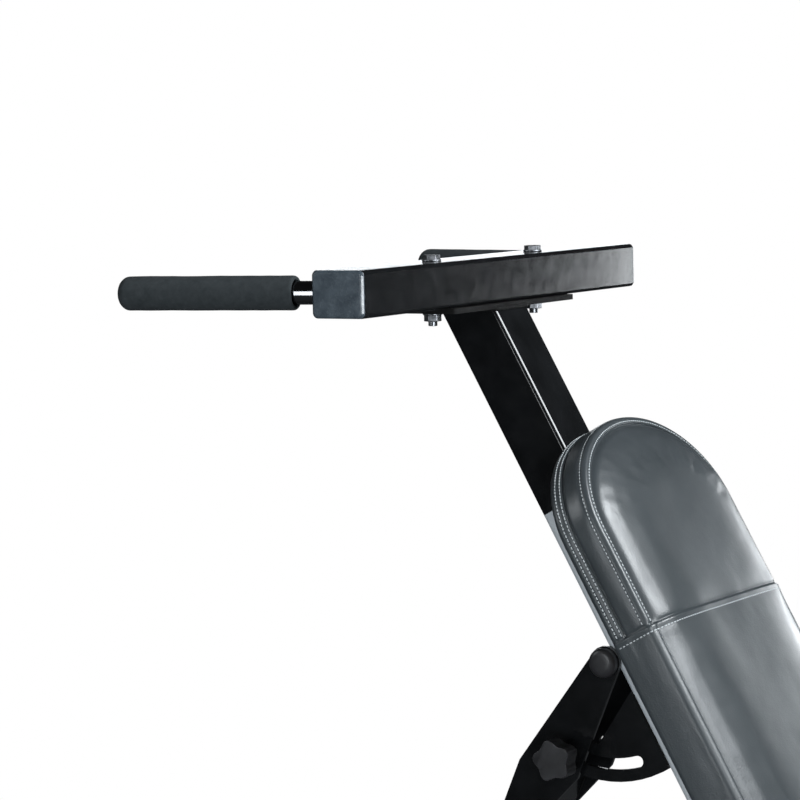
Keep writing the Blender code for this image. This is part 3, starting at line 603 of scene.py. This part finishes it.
def make_grip(word):
    """A foam sleeve with a round blind end, a rolled mouth, and the dents of use."""
    node = f"handle_grip_{word}"
    rod_low, rod_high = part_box(f"handle_rod_{word}")
    start, end = rod_ends(f"handle_rod_{word}")
    place = on_rod(start, end, end)
    low, high = extent(node, place)
    radius, bore = (high.x - low.x) / 2, (rod_high.z - rod_low.z) / 2 + GAP
    tip, mouth = high.z, low.z
    dome, roll, hollow = 0.0125, 0.0055, 0.006
    profile = [(0.0, tip)]
    for i in range(1, 11):
        t = math.pi / 2 * i / 10
        profile.append((radius * math.sin(t) ** 0.92, tip - dome * (1 - math.cos(t))))
    steps = 30
    first, last = tip - dome, mouth + roll
    profile += [(radius, first + (last - first) * i / steps) for i in range(1, steps + 1)]
    profile += fillet((radius, mouth), (radius, last), (radius - 0.0022, mouth), 6)[1:]
    profile += [(bore + 0.0016, mouth + 0.0004), (bore + 0.0006, mouth + 0.002), (bore, mouth + hollow)]
    profile += [(bore, GAP), (0.0, GAP)]
    mesh = lathe(node, profile, place, 56)
    dented(mesh, place, radius * 0.8, (0.00035, 30), (0.00015, 90))
    grip = piece(f"{node}_finish", mesh, "frame", "foam", node)


def make_rod(node, body):
    """A bright rod with chamfered ends."""
    start, end = rod_ends(node)
    place = on_rod(start, end, start)
    low, high = extent(node, place)
    radius, length, chamfer = (high.x - low.x) / 2, (end - start).length, 0.001
    profile = [(0, 0), (radius - chamfer, 0), (radius, chamfer), (radius, length / 3)]
    profile += [(radius, length * 2 / 3), (radius, length - chamfer), (radius - chamfer, length), (0, length)]
    piece(f"{node}_finish", lathe(node, profile, place, 72, 30), body, SLOT_OF[node], node)


def make_washer(name, centre, axis, bore, outer, thickness, body):
    """A plain washer whose underside is at the centre point, on the axis side of it."""
    edge = thickness * 0.22
    profile = [(bore, 0), (outer - edge, 0), (outer, edge), (outer, thickness - edge)]
    profile += [(outer - edge, thickness), (bore, thickness)]
    piece(name, lathe(name, profile, about(axis, centre), 40, 50), body, "zinc")


def make_thread(name, start, axis, length, radius, pitch, body):
    """The threaded end of a bolt, as V grooves round its shank, with a chamfered tip."""
    profile = [(0, 0), (radius + 0.0001, 0)]
    for turn in range(int(length / pitch)):
        z = turn * pitch
        profile += [(radius + 0.0002, z + pitch * 0.5), (radius - pitch * 0.38, z + pitch)]
    profile += [(radius - pitch * 0.38, length), (0, length)]
    piece(name, lathe(name, profile, about(axis, start), 32, 50), body, "zinc")


def make_hardware():
    """Washers under the hex heads and nuts, and threads on the free ends."""
    for side, word in SIDES:
        bolt, bolt_size = middle_and_size(f"flange_bolt_{word}")
        nut_low, nut_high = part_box(f"flange_nut_{word}")
        top = Vector((bolt.x, bolt.y, BEAM_HIGH.z + GAP / 2))
        under = Vector((bolt.x, bolt.y, nut_high.z + GAP / 2))
        make_washer(f"flange_washer_upper_{word}", top, UP, 0.0048, 0.0108, 0.0018, "frame")
        make_washer(f"flange_washer_lower_{word}", under, -UP, 0.0053, 0.0108, 0.0018, "frame")
        end = Vector((bolt.x, bolt.y, nut_low.z + 0.0005))
        length = end.z - (bolt.z - bolt_size.z / 2) - 0.0002
        make_thread(f"flange_thread_{word}", end, -UP, length, 0.005, 0.0015, "frame")
        refine(f"flange_bolt_{word}", 0.0007, 3)
        refine(f"flange_nut_{word}", 0.0007, 3)
        refine(f"wheel_bolt_{word}", 0.0005, 2)
        axle = middle_and_size(f"wheel_bolt_{word}")[0]
        axle.y = face(f"wheel_bracket_{word}", -side)
        inwards = Vector((0, -side, 0))
        length = abs(face(f"wheel_bolt_{word}", -side) - axle.y)
        make_thread(f"wheel_thread_{word}", axle, inwards, length, 0.004, 0.00125, "rear_leg")
        make_lock_nut(f"wheel_nut_{word}", axle, inwards, 0.013, min(0.0065, length), 0.0036)
    for number in range(1, 5):
        refine(f"pad_bolt_{number}", 0.0005, 2)
    refine("pivot_bolt", 0.0008, 3)
    refine("pivot_nut", 0.0008, 3)
    end = Vector((PIVOT.x, face("pivot_nut", 1) - 0.0005, PIVOT.z))
    length = face("pivot_bolt", 1) - end.y - 0.0001
    make_thread("pivot_thread", end, ACROSS, length, 0.006, 0.00175, "rear_leg")
    for (side, word), bore in zip(SIDES, (0.0058, 0.0063)):
        centre = Vector((PIVOT.x, face(f"leg_ear_{word}", side), PIVOT.z))
        make_washer(f"pivot_washer_{word}", centre, ACROSS * side, bore, 0.0135, 0.0016, "rear_leg")


def make_pivot_caps():
    """Hollow plastic caps over the head and the nut of the pivot's bolt."""
    radius, wall = 0.0165, 0.0014
    for side, word in SIDES:
        ear = face(f"leg_ear_{word}", side)
        height = abs(face("pivot_bolt", side) - ear) + wall + 0.0012
        base = Vector((PIVOT.x, ear + side * GAP, PIVOT.z))
        place = axes(DOWN_LEG, OFF_LEG * -side, ACROSS * side, base)
        outer = [(radius, 0), (radius, height * 0.45)]
        outer += fillet((radius, height), (radius, height * 0.45), (radius * 0.35, height), 8)[1:]
        inner = [(0, height - wall), (radius * 0.35, height - wall)]
        inner += [(radius - wall, height * 0.45), (radius - wall, 0)]
        profile = outer + [(0, height)] + inner
        piece(f"pivot_cap_{word}", lathe(f"pivot_cap_{word}", profile, place, 48), "rear_leg", "knob_plastic")


def make_post_plug():
    """The plastic plug in the open end of the ankle rollers' post. It stops short of their bar."""
    low, high = extent("roller_post", RAIL)
    place = RAIL @ Matrix.Translation(((low.x + high.x) / 2, (low.y + high.y) / 2, high.z))
    profile = ((0.0034, -0.005), (0.0034, 0), (0.0004, 0.0002), (0, 0.0006), (0, 0.0018))
    profile += ((0.0003, 0.0024), (0.001, 0.0028), (0.006, 0.0031), (0.018, 0.0033))
    rings = stepped(high.x - low.x, high.y - low.y, 0.005, 0.0008, profile)
    piece("roller_post_plug", loft("roller_post_plug", rings, place), "roller_post", "knob_plastic")


def make_lock_nut(name, centre, axis, across_flats, height, bore):
    """A hex nut with its hole."""
    reach = across_flats / math.sqrt(3)
    corners = ((bore, 0), (reach, 0), (reach, height), (bore, height), (bore, 0))
    rings = [[(radius * x, radius * y, z) for x, y in circle(6)] for radius, z in corners]
    mesh = loft(name, rings, about(axis, centre), closed_ends=False)
    rounded(piece(name, mesh, "rear_leg", "zinc"), 0.0005)


def level_cut(place, low, high, z):
    """The corners where a sloping tube, between two corners of its own frame, meets a level plane."""
    along, _, out, origin = (column.to_3d() for column in place.col)
    points = []
    for h, y in ((high.z, -1), (high.z, 1), (low.z, 1), (low.z, -1)):
        a = (origin.z + h * out.z - z) / -along.z
        points.append(origin + a * along + h * out + y * high.y * ACROSS)
    return points


def cut_corners(points, corner=0.004):
    """A closed outline with its corners cut off."""
    cut = []
    for i, point in enumerate(points):
        for beside in (points[i - 1], points[(i + 1) % len(points)]):
            cut.append(point + corner * (beside - point).normalized())
    return cut


def make_welds():
    """Beads where the tubes and plates are welded together."""
    bead = 0.0026
    post_low, post_high = extent("head_post", RAIL)
    half = (post_high.y - post_low.y) / 2

    leg_low, leg_high = extent("rear_leg", LEG)
    for name, z in (("weld_post_plate", PLATE_LOW.z), ("weld_rail_foot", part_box("front_stabiliser")[1].z)):
        weld(name, cut_corners(level_cut(RAIL, post_low, post_high, z)), "frame", bead)
    weld("weld_leg_foot", level_cut(LEG, leg_low, leg_high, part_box("rear_stabiliser")[1].z), "rear_leg", bead)
    sleeve_low, sleeve_high = extent("roller_sleeve", RAIL)
    around = [(sleeve_low.x, sleeve_low.y), (sleeve_high.x, sleeve_low.y)]
    around += [(sleeve_high.x, sleeve_high.y), (sleeve_low.x, sleeve_high.y)]
    weld("weld_roller_sleeve", [RAIL @ Vector((a, y, 0.0005)) for a, y in around], "frame", bead)
    pivot_rail = RAIL.inverted() @ PIVOT
    back = post_low.z
    for side, word in SIDES:
        for shift, edge in ((-0.0075, "upper"), (0.0075, "lower")):
            along = pivot_rail.x + shift
            line = [RAIL @ Vector((along, y * half * side, back - 0.0012)) for y in (0.1, 0.94)]
            weld(f"weld_pivot_{word}_{edge}", line, "frame", 0.0022, closed=False)
        end = extent(f"leg_ear_{word}", LEG)[1].x - 0.006
        edge_y = side * (leg_high.y + 0.0006)
        start = leg_low.x + 0.004
        for height, edge in ((leg_high.z - 0.002, "front"), (leg_low.z + 0.002, "back")):
            line = [LEG @ Vector((a, edge_y, height)) for a in (start, end)]
            weld(f"weld_ear_{word}_{edge}", line, "rear_leg", 0.0018, closed=False)
        bracket_low, bracket_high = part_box(f"wheel_bracket_{word}")
        for y, edge in ((bracket_low.y, "outer"), (bracket_high.y, "inner")):
            line = [Vector((bracket_high.x, y, z)) for z in (bracket_low.z + 0.016, bracket_high.z - 0.002)]
            weld(f"weld_bracket_{word}_{edge}", line, "rear_leg", 0.0016, closed=False)
    sector_low, sector_high = extent("leg_sector", RAIL)
    for y, edge in ((sector_low.y, "outer"), (sector_high.y, "inner")):
        line = [RAIL @ Vector((a, y, back)) for a in (pivot_rail.x + 0.045, sector_high.x - 0.004)]
        weld(f"weld_sector_{edge}", line, "frame", 0.002, closed=False)


def make_plain_parts():
    """CAD pieces whose shape is right: they only get rounded edges and their finish."""
    refine("flange_plate", 0.0007, material="plate_paint")
    edges = (
        (0.0007, "cross_beam head_post main_rail pivot_sleeve leg_sector"),
        (0.0006, "pad_plate_upper pad_plate_lower roller_sleeve roller_lock_boss"),
        (0.0007, "rear_leg leg_ear_left leg_ear_right leg_lock_boss leg_lock_stud"),
        (0.0006, "front_stabiliser rear_stabiliser roller_post roller_lock_stud"),
        (0.0006, "wheel_bracket_left wheel_bracket_right roller_cap_left roller_cap_right"),
        (0.001, "pad_board"),
        (0.0004, "head_spigot"),
    )
    for width, nodes in edges:
        for node in nodes.split():
            refine(node, width)
    for node in ("leg_lock_knob", "roller_lock_knob"):
        refine(node, 0.0012, 3, 25)
    for end in ("front", "rear"):
        for _, word in SIDES:
            refine(f"{end}_foot_{word}", 0.0012, 3)


# ---- the backrest pad

SEAM_ALONG = 0.232  # the cross seam, from the head end of the pad
SEAM_STATIONS = (-0.005, -0.0022, -0.0004, 0.001, 0.003, 0.0075, 0.011)
SEAM_LIFT = (0.0, -0.0004, -0.0018, 0.0011, 0.001, 0.0001, 0.0005)
INSET_LIMIT = 0.035  # rings nearer the edge than this are true offsets of the outline
STITCH_ROW = 5  # the station of the seam's row of stitches


def tenths(*pairs):
    """Lengths given in tenths of a millimetre, in metres."""
    return tuple((one / 10000, two / 10000) for one, two in pairs)


# Cross-section from the board's pocket, round the back edge and over the front: (inset, height) in the
# head panel, and in the plain panel below the cross seam. Heights are over the back of the board.
BACK = tenths(
    (77, 153), (77, -3), (340, -3), (340, -10), (220, -13), (100, -13), (45, -5), (14, 18), (3, 44),
)
HEAD = tenths(
    (2, 68), (6, 78), (0, 90), (-1, 118), (5, 136), (4, 150), (2, 170), (50, 184), (2, 196), (-1, 234),
    (-4, 294), (-5, 354), (-2, 412), (7, 430), (-1, 454), (18, 492), (28, 501), (42, 505), (60, 509),
    (74, 506), (86, 510), (98, 504), (112, 482), (124, 506),
)
PLAIN = tenths(
    (1, 68), (1, 78), (0, 90), (-1, 118), (-1, 136), (-2, 150), (-2, 166), (-3, 184), (-3, 202),
    (-4, 234), (-5, 294), (-5, 354), (-3, 409), (1, 449), (6, 474), (14, 490), (24, 504), (40, 518),
    (60, 528), (78, 532), (92, 532), (105, 526), (117, 512), (128, 530),
)
ROLL = tenths(
    (143, 536), (172, 561), (212, 587), (262, 611), (311, 631), (350, 643),
)
POCKET_POINTS = 4  # the first points of BACK, inside the board's pocket
CROWN_RINGS, CROWN_RISE, CROWN_BEND = 13, 0.0048, 5
ROW_BACK_1, ROW_BACK_2, ROW_WELT, ROW_RIM = 14, 17, 25, 31  # rings that carry stitches


def pad_columns():
    """Round the pad's outline: (point, inward normal, spine point, how far past the seam, station)."""
    low, high = extent("backrest_pad", RAIL)
    half_width = (high.y - low.y) / 2
    head_length, corner = 0.117, 0.06
    head_centre, last_spine = low.x + head_length, high.x - half_width
    seam = low.x + SEAM_ALONG
    half = []
    for i in range(26):
        t = math.pi / 2 * i / 26
        point = Vector((head_centre - head_length * math.cos(t), half_width * math.sin(t)))
        normal = Vector((math.cos(t) / head_length, -math.sin(t) / half_width)).normalized()
        half.append((point, normal, Vector((head_centre, 0)), -1, None))
    stations = [seam + shift for shift in SEAM_STATIONS]
    straight = []
    count = round((stations[0] - head_centre) / 0.009)
    straight += [(head_centre + (stations[0] - head_centre) * i / count, None) for i in range(count)]
    straight += [(a, index) for index, a in enumerate(stations)]
    start, end = stations[-1], high.x - corner
    count = round((end - start) / 0.009)
    straight += [(start + (end - start) * i / count, None) for i in range(1, count)]
    for a, station in straight:
        spine = Vector((min(a, last_spine), 0))
        half.append((Vector((a, half_width)), Vector((0, -1)), spine, a - seam, station))
    for i in range(9):
        t = math.pi / 2 * i / 8
        around = Vector((math.sin(t), math.cos(t)))
        point = Vector((end, half_width - corner)) + corner * around
        half.append((point, -around, Vector((last_spine, 0)), 1, None))
    for i in range(1, 12):
        point = Vector((high.x, (half_width - corner) * (1 - i / 12)))
        half.append((point, Vector((-1, 0)), Vector((last_spine, 0)), 1, None))
    foot = [(Vector((high.x, 0)), Vector((-1, 0)), Vector((last_spine, 0)), 1, None)]
    mirror = Vector((1, -1))
    other = [(p * mirror, n * mirror, m, past, s) for p, n, m, past, s in reversed(half[1:])]
    return half + foot + other


def pad_section(past):
    """Rings of the cross-section at a column: head panel above the seam, plain panel below it."""
    if past < 0:
        return BACK + HEAD + ROLL
    return BACK + PLAIN + ROLL


def make_pad_cover():
    columns = pad_columns()
    base = extent("pad_board", RAIL)[0].z
    bm = bmesh.new()
    grid = []
    pocket_inset, pocket_height = BACK[0]
    for point, normal, spine, past, _ in columns:
        section = pad_section(past)
        column = []
        for share in (1.0, 0.66, 0.33):
            flat = (point + normal * pocket_inset).lerp(spine, share)
            column.append((flat, pocket_height))
        column += [(point + normal * inset, height) for inset, height in section]
        edge, top = point + normal * INSET_LIMIT, section[-1][1]
        for i in range(1, CROWN_RINGS + 1):
            share = i / CROWN_RINGS
            column.append((edge.lerp(spine, share), top + CROWN_RISE * (1 - (1 - share) ** CROWN_BEND)))
        grid.append([bm.verts.new(RAIL @ Vector((flat.x, flat.y, base + height))) for flat, height in column])
    for one, two in zip(grid, grid[1:] + grid[:1]):
        for i in range(len(one) - 1):
            bm.faces.new((one[i], one[i + 1], two[i + 1], two[i]))
    mesh = bpy.data.meshes.new("backrest_pad_cover")
    rings = len(grid[0])
    bm.verts.index_update()
    bm.to_mesh(mesh)
    bm.free()
    swell(mesh, columns, rings)
    return mesh, columns, rings


def pinned(ring, rings):
    """True for a ring of the pad that is held: the board's pocket and the seams are, the panels aren't."""
    seams = 3 + POCKET_POINTS
    free_side = range(seams + 14, seams + 18)  # the band between the groove and the welt
    free_crown = range(rings - CROWN_RINGS - 4, rings)
    return ring not in free_side and ring not in free_crown


SWELL_CAP, SWELL_FRAMES, PRESSURE = 0.0015, 20, 2.5


def swell(mesh, columns, rings):
    """Stuffs the panels: cloth under pressure, held at the seams, with a cap on how far a point moves."""
    rest = [vertex.co.copy() for vertex in mesh.vertices]
    # The rings meet in shared points along the spine, and cloth can't hold a spring of no length.
    bm = bmesh.new()
    bm.from_mesh(mesh)
    bmesh.ops.remove_doubles(bm, verts=bm.verts[:], dist=2e-5)
    bm.verts.index_update()
    tree = KDTree(len(bm.verts))
    for vert in bm.verts:
        tree.insert(vert.co, vert.index)
    tree.balance()
    welded = [tree.find(point)[1] for point in rest]
    cloth_mesh = bpy.data.meshes.new("stuffing")
    bm.to_mesh(cloth_mesh)
    bm.free()
    body = in_scene("stuffing", cloth_mesh)
    scene = bpy.context.scene
    held = body.vertex_groups.new(name="held")
    for column, (_, _, _, _, station) in enumerate(columns):
        for ring in range(rings):
            if station is not None or pinned(ring, rings):
                held.add([welded[column * rings + ring]], 1.0, "REPLACE")
    cloth = body.modifiers.new("cloth", "CLOTH")
    settings = cloth.settings
    settings.vertex_group_mass = "held"
    settings.quality = 6
    settings.mass = 0.02
    settings.tension_stiffness = settings.compression_stiffness = 18
    settings.bending_stiffness = 0.8
    settings.use_pressure = True
    settings.uniform_pressure_force = PRESSURE
    settings.effector_weights.gravity = 0
    cloth.collision_settings.use_collision = False
    cloth.point_cache.frame_start, cloth.point_cache.frame_end = 1, SWELL_FRAMES
    for step in range(1, SWELL_FRAMES + 1):
        scene.frame_set(step)
    swollen = body.evaluated_get(bpy.context.evaluated_depsgraph_get()).to_mesh()
    moves = [swollen.vertices[index].co - start for index, start in zip(welded, rest)]
    for vertex, shift in zip(mesh.vertices, moves):
        length = shift.length
        if length > 1e-7:
            vertex.co += shift * (SWELL_CAP * math.tanh(length / SWELL_CAP) / length)
    bpy.data.objects.remove(body)
    bpy.data.meshes.remove(cloth_mesh)
    scene.frame_set(1)


def crease(mesh, columns, rings):
    """Lifts the fold of the cross seam, and puts soft wrinkles and dents into the panels."""
    normals = [Vector(item.vector) for item in mesh.vertex_normals]
    first_shown = 3 + POCKET_POINTS + 3
    for column, (_, _, _, past, station) in enumerate(columns):
        for ring in range(first_shown, rings):
            index = column * rings + ring
            vertex, normal = mesh.vertices[index], normals[index]
            lift = SEAM_LIFT[station] if station is not None else 0.0
            here = RAIL.inverted() @ vertex.co
            folds = noise.noise(Vector((here.x * 9, here.y * 16, here.z * 30)))
            fine = noise.noise(Vector((here.x * 40, here.y * 34, 3.7)))
            gather = math.exp(-abs(past) / 0.03) * noise.noise(Vector((here.y * 75, here.z * 75, 1.3)))
            dents = 0.0008 * folds + 0.00022 * fine + 0.0006 * gather
            vertex.co += normal * (lift if pinned(ring, rings) else lift + dents)


def seam_path(mesh, columns, rings, ring):
    """Points and normals along a ring, from the cross seam round the head to the seam again."""
    count = len(columns)
    past_seam = next(i for i in range(count) if columns[i][4] is not None)
    indices = [i % count for i in range(-past_seam, past_seam + 1)]
    return [
        (mesh.vertices[i * rings + ring].co.copy(), Vector(mesh.vertex_normals[i * rings + ring].vector))
        for i in indices
    ]


def cross_path(mesh, columns, rings, station):
    """Points and normals across the pad along one station of the seam, from back edge to back edge."""
    near, far = [i for i, column in enumerate(columns) if column[4] == station]
    first = 3 + POCKET_POINTS + 4
    indices = [near * rings + ring for ring in range(first, rings)]
    indices += [far * rings + ring for ring in reversed(range(first, rings - 1))]
    return [(mesh.vertices[i].co.copy(), Vector(mesh.vertex_normals[i].vector)) for i in indices]


def stitches(bm, path, pitch=0.0046, length=0.0037, radius=0.00075, sink=0.00005):
    """Adds a row of stitches: short round-ended threads that dive into the leather at both ends."""
    half = ((-1.0, 0.35, -0.7), (-0.72, 0.85, -0.15), (0.0, 1.0, 0.25))  # (along, thickness, rise)
    stops = half + tuple((-along, share, rise) for along, share, rise in reversed(half[:2]))
    turns = circle(6)
    walked = 0.0
    for (one, normal_one), (two, normal_two) in zip(path, path[1:]):
        span = (two - one).length
        if span < 1e-6:
            continue
        ahead = (two - one).normalized()
        while walked < span:
            centre = one.lerp(two, walked / span)
            normal = normal_one.lerp(normal_two, walked / span).normalized()
            side = ahead.cross(normal).normalized()
            over = side.cross(ahead)
            rings = []
            for along, share, rise in stops:
                middle = centre + ahead * (along * length / 2) + over * (rise * radius - sink)
                reach = radius * share
                rings.append([bm.verts.new(middle + reach * (side * x + over * y)) for x, y in turns])
            skin(bm, rings, ends=True)
            walked += pitch
        walked -= span


def make_staples(columns):
    """Wire staples that hold the cover's turned-in edge to the board."""
    bm = bmesh.new()
    width, wire, inset, spacing = 0.01, 0.0006, 0.021, 3
    height = extent("pad_board", RAIL)[0].z + BACK[POCKET_POINTS][1]
    for column in range(0, len(columns), spacing):
        point, normal, _, _, _ = columns[column]
        along = Vector((-normal.y, normal.x))
        centre = point + normal * inset
        ends = [centre - along * width / 2, centre + along * width / 2]
        low, high = height - wire, height + 0.0004
        corners = []
        for end in ends:
            for across_sign in (-1, 1):
                flat = end + normal * (across_sign * wire / 2)
                corners += [RAIL @ Vector((flat.x, flat.y, low)), RAIL @ Vector((flat.x, flat.y, high))]
        made = bmesh.ops.convex_hull(bm, input=[bm.verts.new(corner) for corner in corners])
        bmesh.ops.delete(bm, geom=made["geom_interior"], context="VERTS")
    piece("pad_staples", smooth_mesh(bm, "pad_staples", 30), "frame", "zinc")


def make_pad():
    mesh, columns, rings = make_pad_cover()
    crease(mesh, columns, rings)
    bm = bmesh.new()
    for ring in (ROW_BACK_1, ROW_BACK_2, ROW_WELT, ROW_RIM):
        stitches(bm, seam_path(mesh, columns, rings, ring))
    stitches(bm, cross_path(mesh, columns, rings, STITCH_ROW))
    piece("pad_stitching", smooth_mesh(bm, "pad_stitching", 180), "frame", "leather", material="thread")
    bm = bmesh.new()
    bm.from_mesh(mesh)
    bmesh.ops.remove_doubles(bm, verts=bm.verts, dist=1e-5)
    cover = piece("backrest_pad_cover", smooth_mesh(bm, "pad_cover", 180), "frame", "leather", "backrest_pad")
    smoothing = cover.modifiers.new("smooth surface", "SUBSURF")
    smoothing.levels = smoothing.render_levels = 1
    make_staples(columns)


# ---- rollers, wheels and feet


def make_roller(word):
    """A foam ankle roller: rounded ends, a slight waist where ankles have pressed it."""
    node = f"ankle_roller_{word}"
    centre, size = middle_and_size(node)
    place = axes(UP, Vector((1, 0, 0)), ACROSS, centre)
    radius, half = size.z / 2, size.y / 2
    bore, edge = middle_and_size("roller_bar")[1].z / 2 + 0.0008, 0.011
    profile = [(bore, -half + 0.001), (bore + 0.001, -half)]
    profile += [(radius - edge - 0.004, -half + 0.0004)]
    profile += fillet((radius, -half), (radius - edge, -half), (radius, edge - half), 8)
    steps = 22
    for i in range(1, steps):
        z = (edge - half) + (2 * half - 2 * edge) * i / steps
        profile.append((radius - 0.0012 * math.cos(math.pi / 2 * z / half) ** 4, z))
    profile += fillet((radius, half), (radius, half - edge), (radius - edge, half), 8)
    profile += [(radius - edge - 0.004, half - 0.0004), (bore + 0.001, half), (bore, half - 0.001)]
    mesh = lathe(node, profile, place, 72)
    dented(mesh, place, bore * 1.6, (0.0004, 28), (0.00015, 120))
    roller = piece(f"{node}_finish", mesh, BODY_OF[node], "foam", node)


def make_wheel(word):
    """A rubber wheel with a grooved tread and a dished, spoked face."""
    node = f"wheel_{word}"
    centre, size = middle_and_size(node)
    place = axes(UP, Vector((1, 0, 0)), ACROSS, centre)
    radius, half = size.z / 2, size.y / 2
    bore = 0.0043
    rim, dish = radius * 0.74, half * 0.55
    side_profile = [(bore, half), (0.01, half), (0.0108, half - 0.0008), (0.0112, dish)]
    side_profile += [(rim - 0.0012, dish), (rim, half - 0.001), (rim + 0.001, half)]
    side_profile += fillet((radius, half), (radius - 0.0035, half), (radius, half - 0.0035), 5)
    tread = []
    for groove in (0.0045, 0.0):
        depths = ((0, 0.0011), (0.0012, 0.0006), (0.0012, -0.0006), (0, -0.0011))
        tread += [(radius - depth, groove + z) for depth, z in depths]
    tread += [(r, -z) for r, z in reversed(tread[:4])]
    profile = side_profile + tread + [(r, -z) for r, z in reversed(side_profile)]
    piece(f"{node}_finish", lathe(node, profile, place, 64, 35), BODY_OF[node], "rubber", node)
    bm = bmesh.new()
    for i in range(6):
        turn = Matrix.Rotation(2 * math.pi * i / 6, 4, "Y")
        for side in (-1, 1):
            middle = Matrix.Translation(((0.0108 + rim) / 2, side * (dish + 0.0012), 0))
            spoke = Matrix.Diagonal((rim - 0.0106, 0.0028, 0.003, 1))
            bmesh.ops.create_cube(bm, size=1, matrix=Matrix.Translation(centre) @ turn @ middle @ spoke)
    spokes = piece(f"{node}_spokes", smooth_mesh(bm, f"{node}_spokes", 180), BODY_OF[node], "rubber")
    rounded(spokes, 0.0006)


def make_foot_ribs(node, side):
    """Raised grip ribs round a rubber foot."""
    middle, size = middle_and_size(node)
    lowest = middle.z - size.z / 2 + 0.00005
    wall, rib = 0.0012, 0.0024
    outer_ring = rounded_outline(size.x + 0.0012, size.z - 0.0002, 0.0085)
    inner_ring = rounded_outline(size.x - 2 * wall, size.z - 2 * wall, 0.007)
    bm = bmesh.new()
    for number in range(4):
        start = face(node, -side) + side * (0.008 + 0.0065 * number)
        rows = []
        for outline, shift in ((inner_ring, 0), (outer_ring, 0), (outer_ring, rib), (inner_ring, rib)):
            y = start + side * shift
            points = [(middle.x + x, y, max(middle.z + z, lowest)) for x, z in outline]
            rows.append([bm.verts.new(point) for point in points])
        skin(bm, rows + rows[:1])
    piece(node.replace("foot", "foot_ribs"), smooth_mesh(bm, "ribs", 35), BODY_OF[node], "rubber")


bpy.context.scene.view_settings.view_transform = "Standard"
make_camera()
make_world()
make_floor()
make_lights()
for side_sign, side_word in SIDES:
    make_beam_cap(side_sign, side_word)
    make_grip(side_word)
    make_rod(f"handle_rod_{side_word}", "frame")
    make_roller(side_word)
    make_wheel(side_word)
make_rod("roller_bar", "roller_post")
make_hardware()
make_pivot_caps()
make_post_plug()
make_welds()
make_plain_parts()
for foot_end in ("front", "rear"):
    for side_sign, side_word in SIDES:
        make_foot_ribs(f"{foot_end}_foot_{side_word}", side_sign)
make_pad()
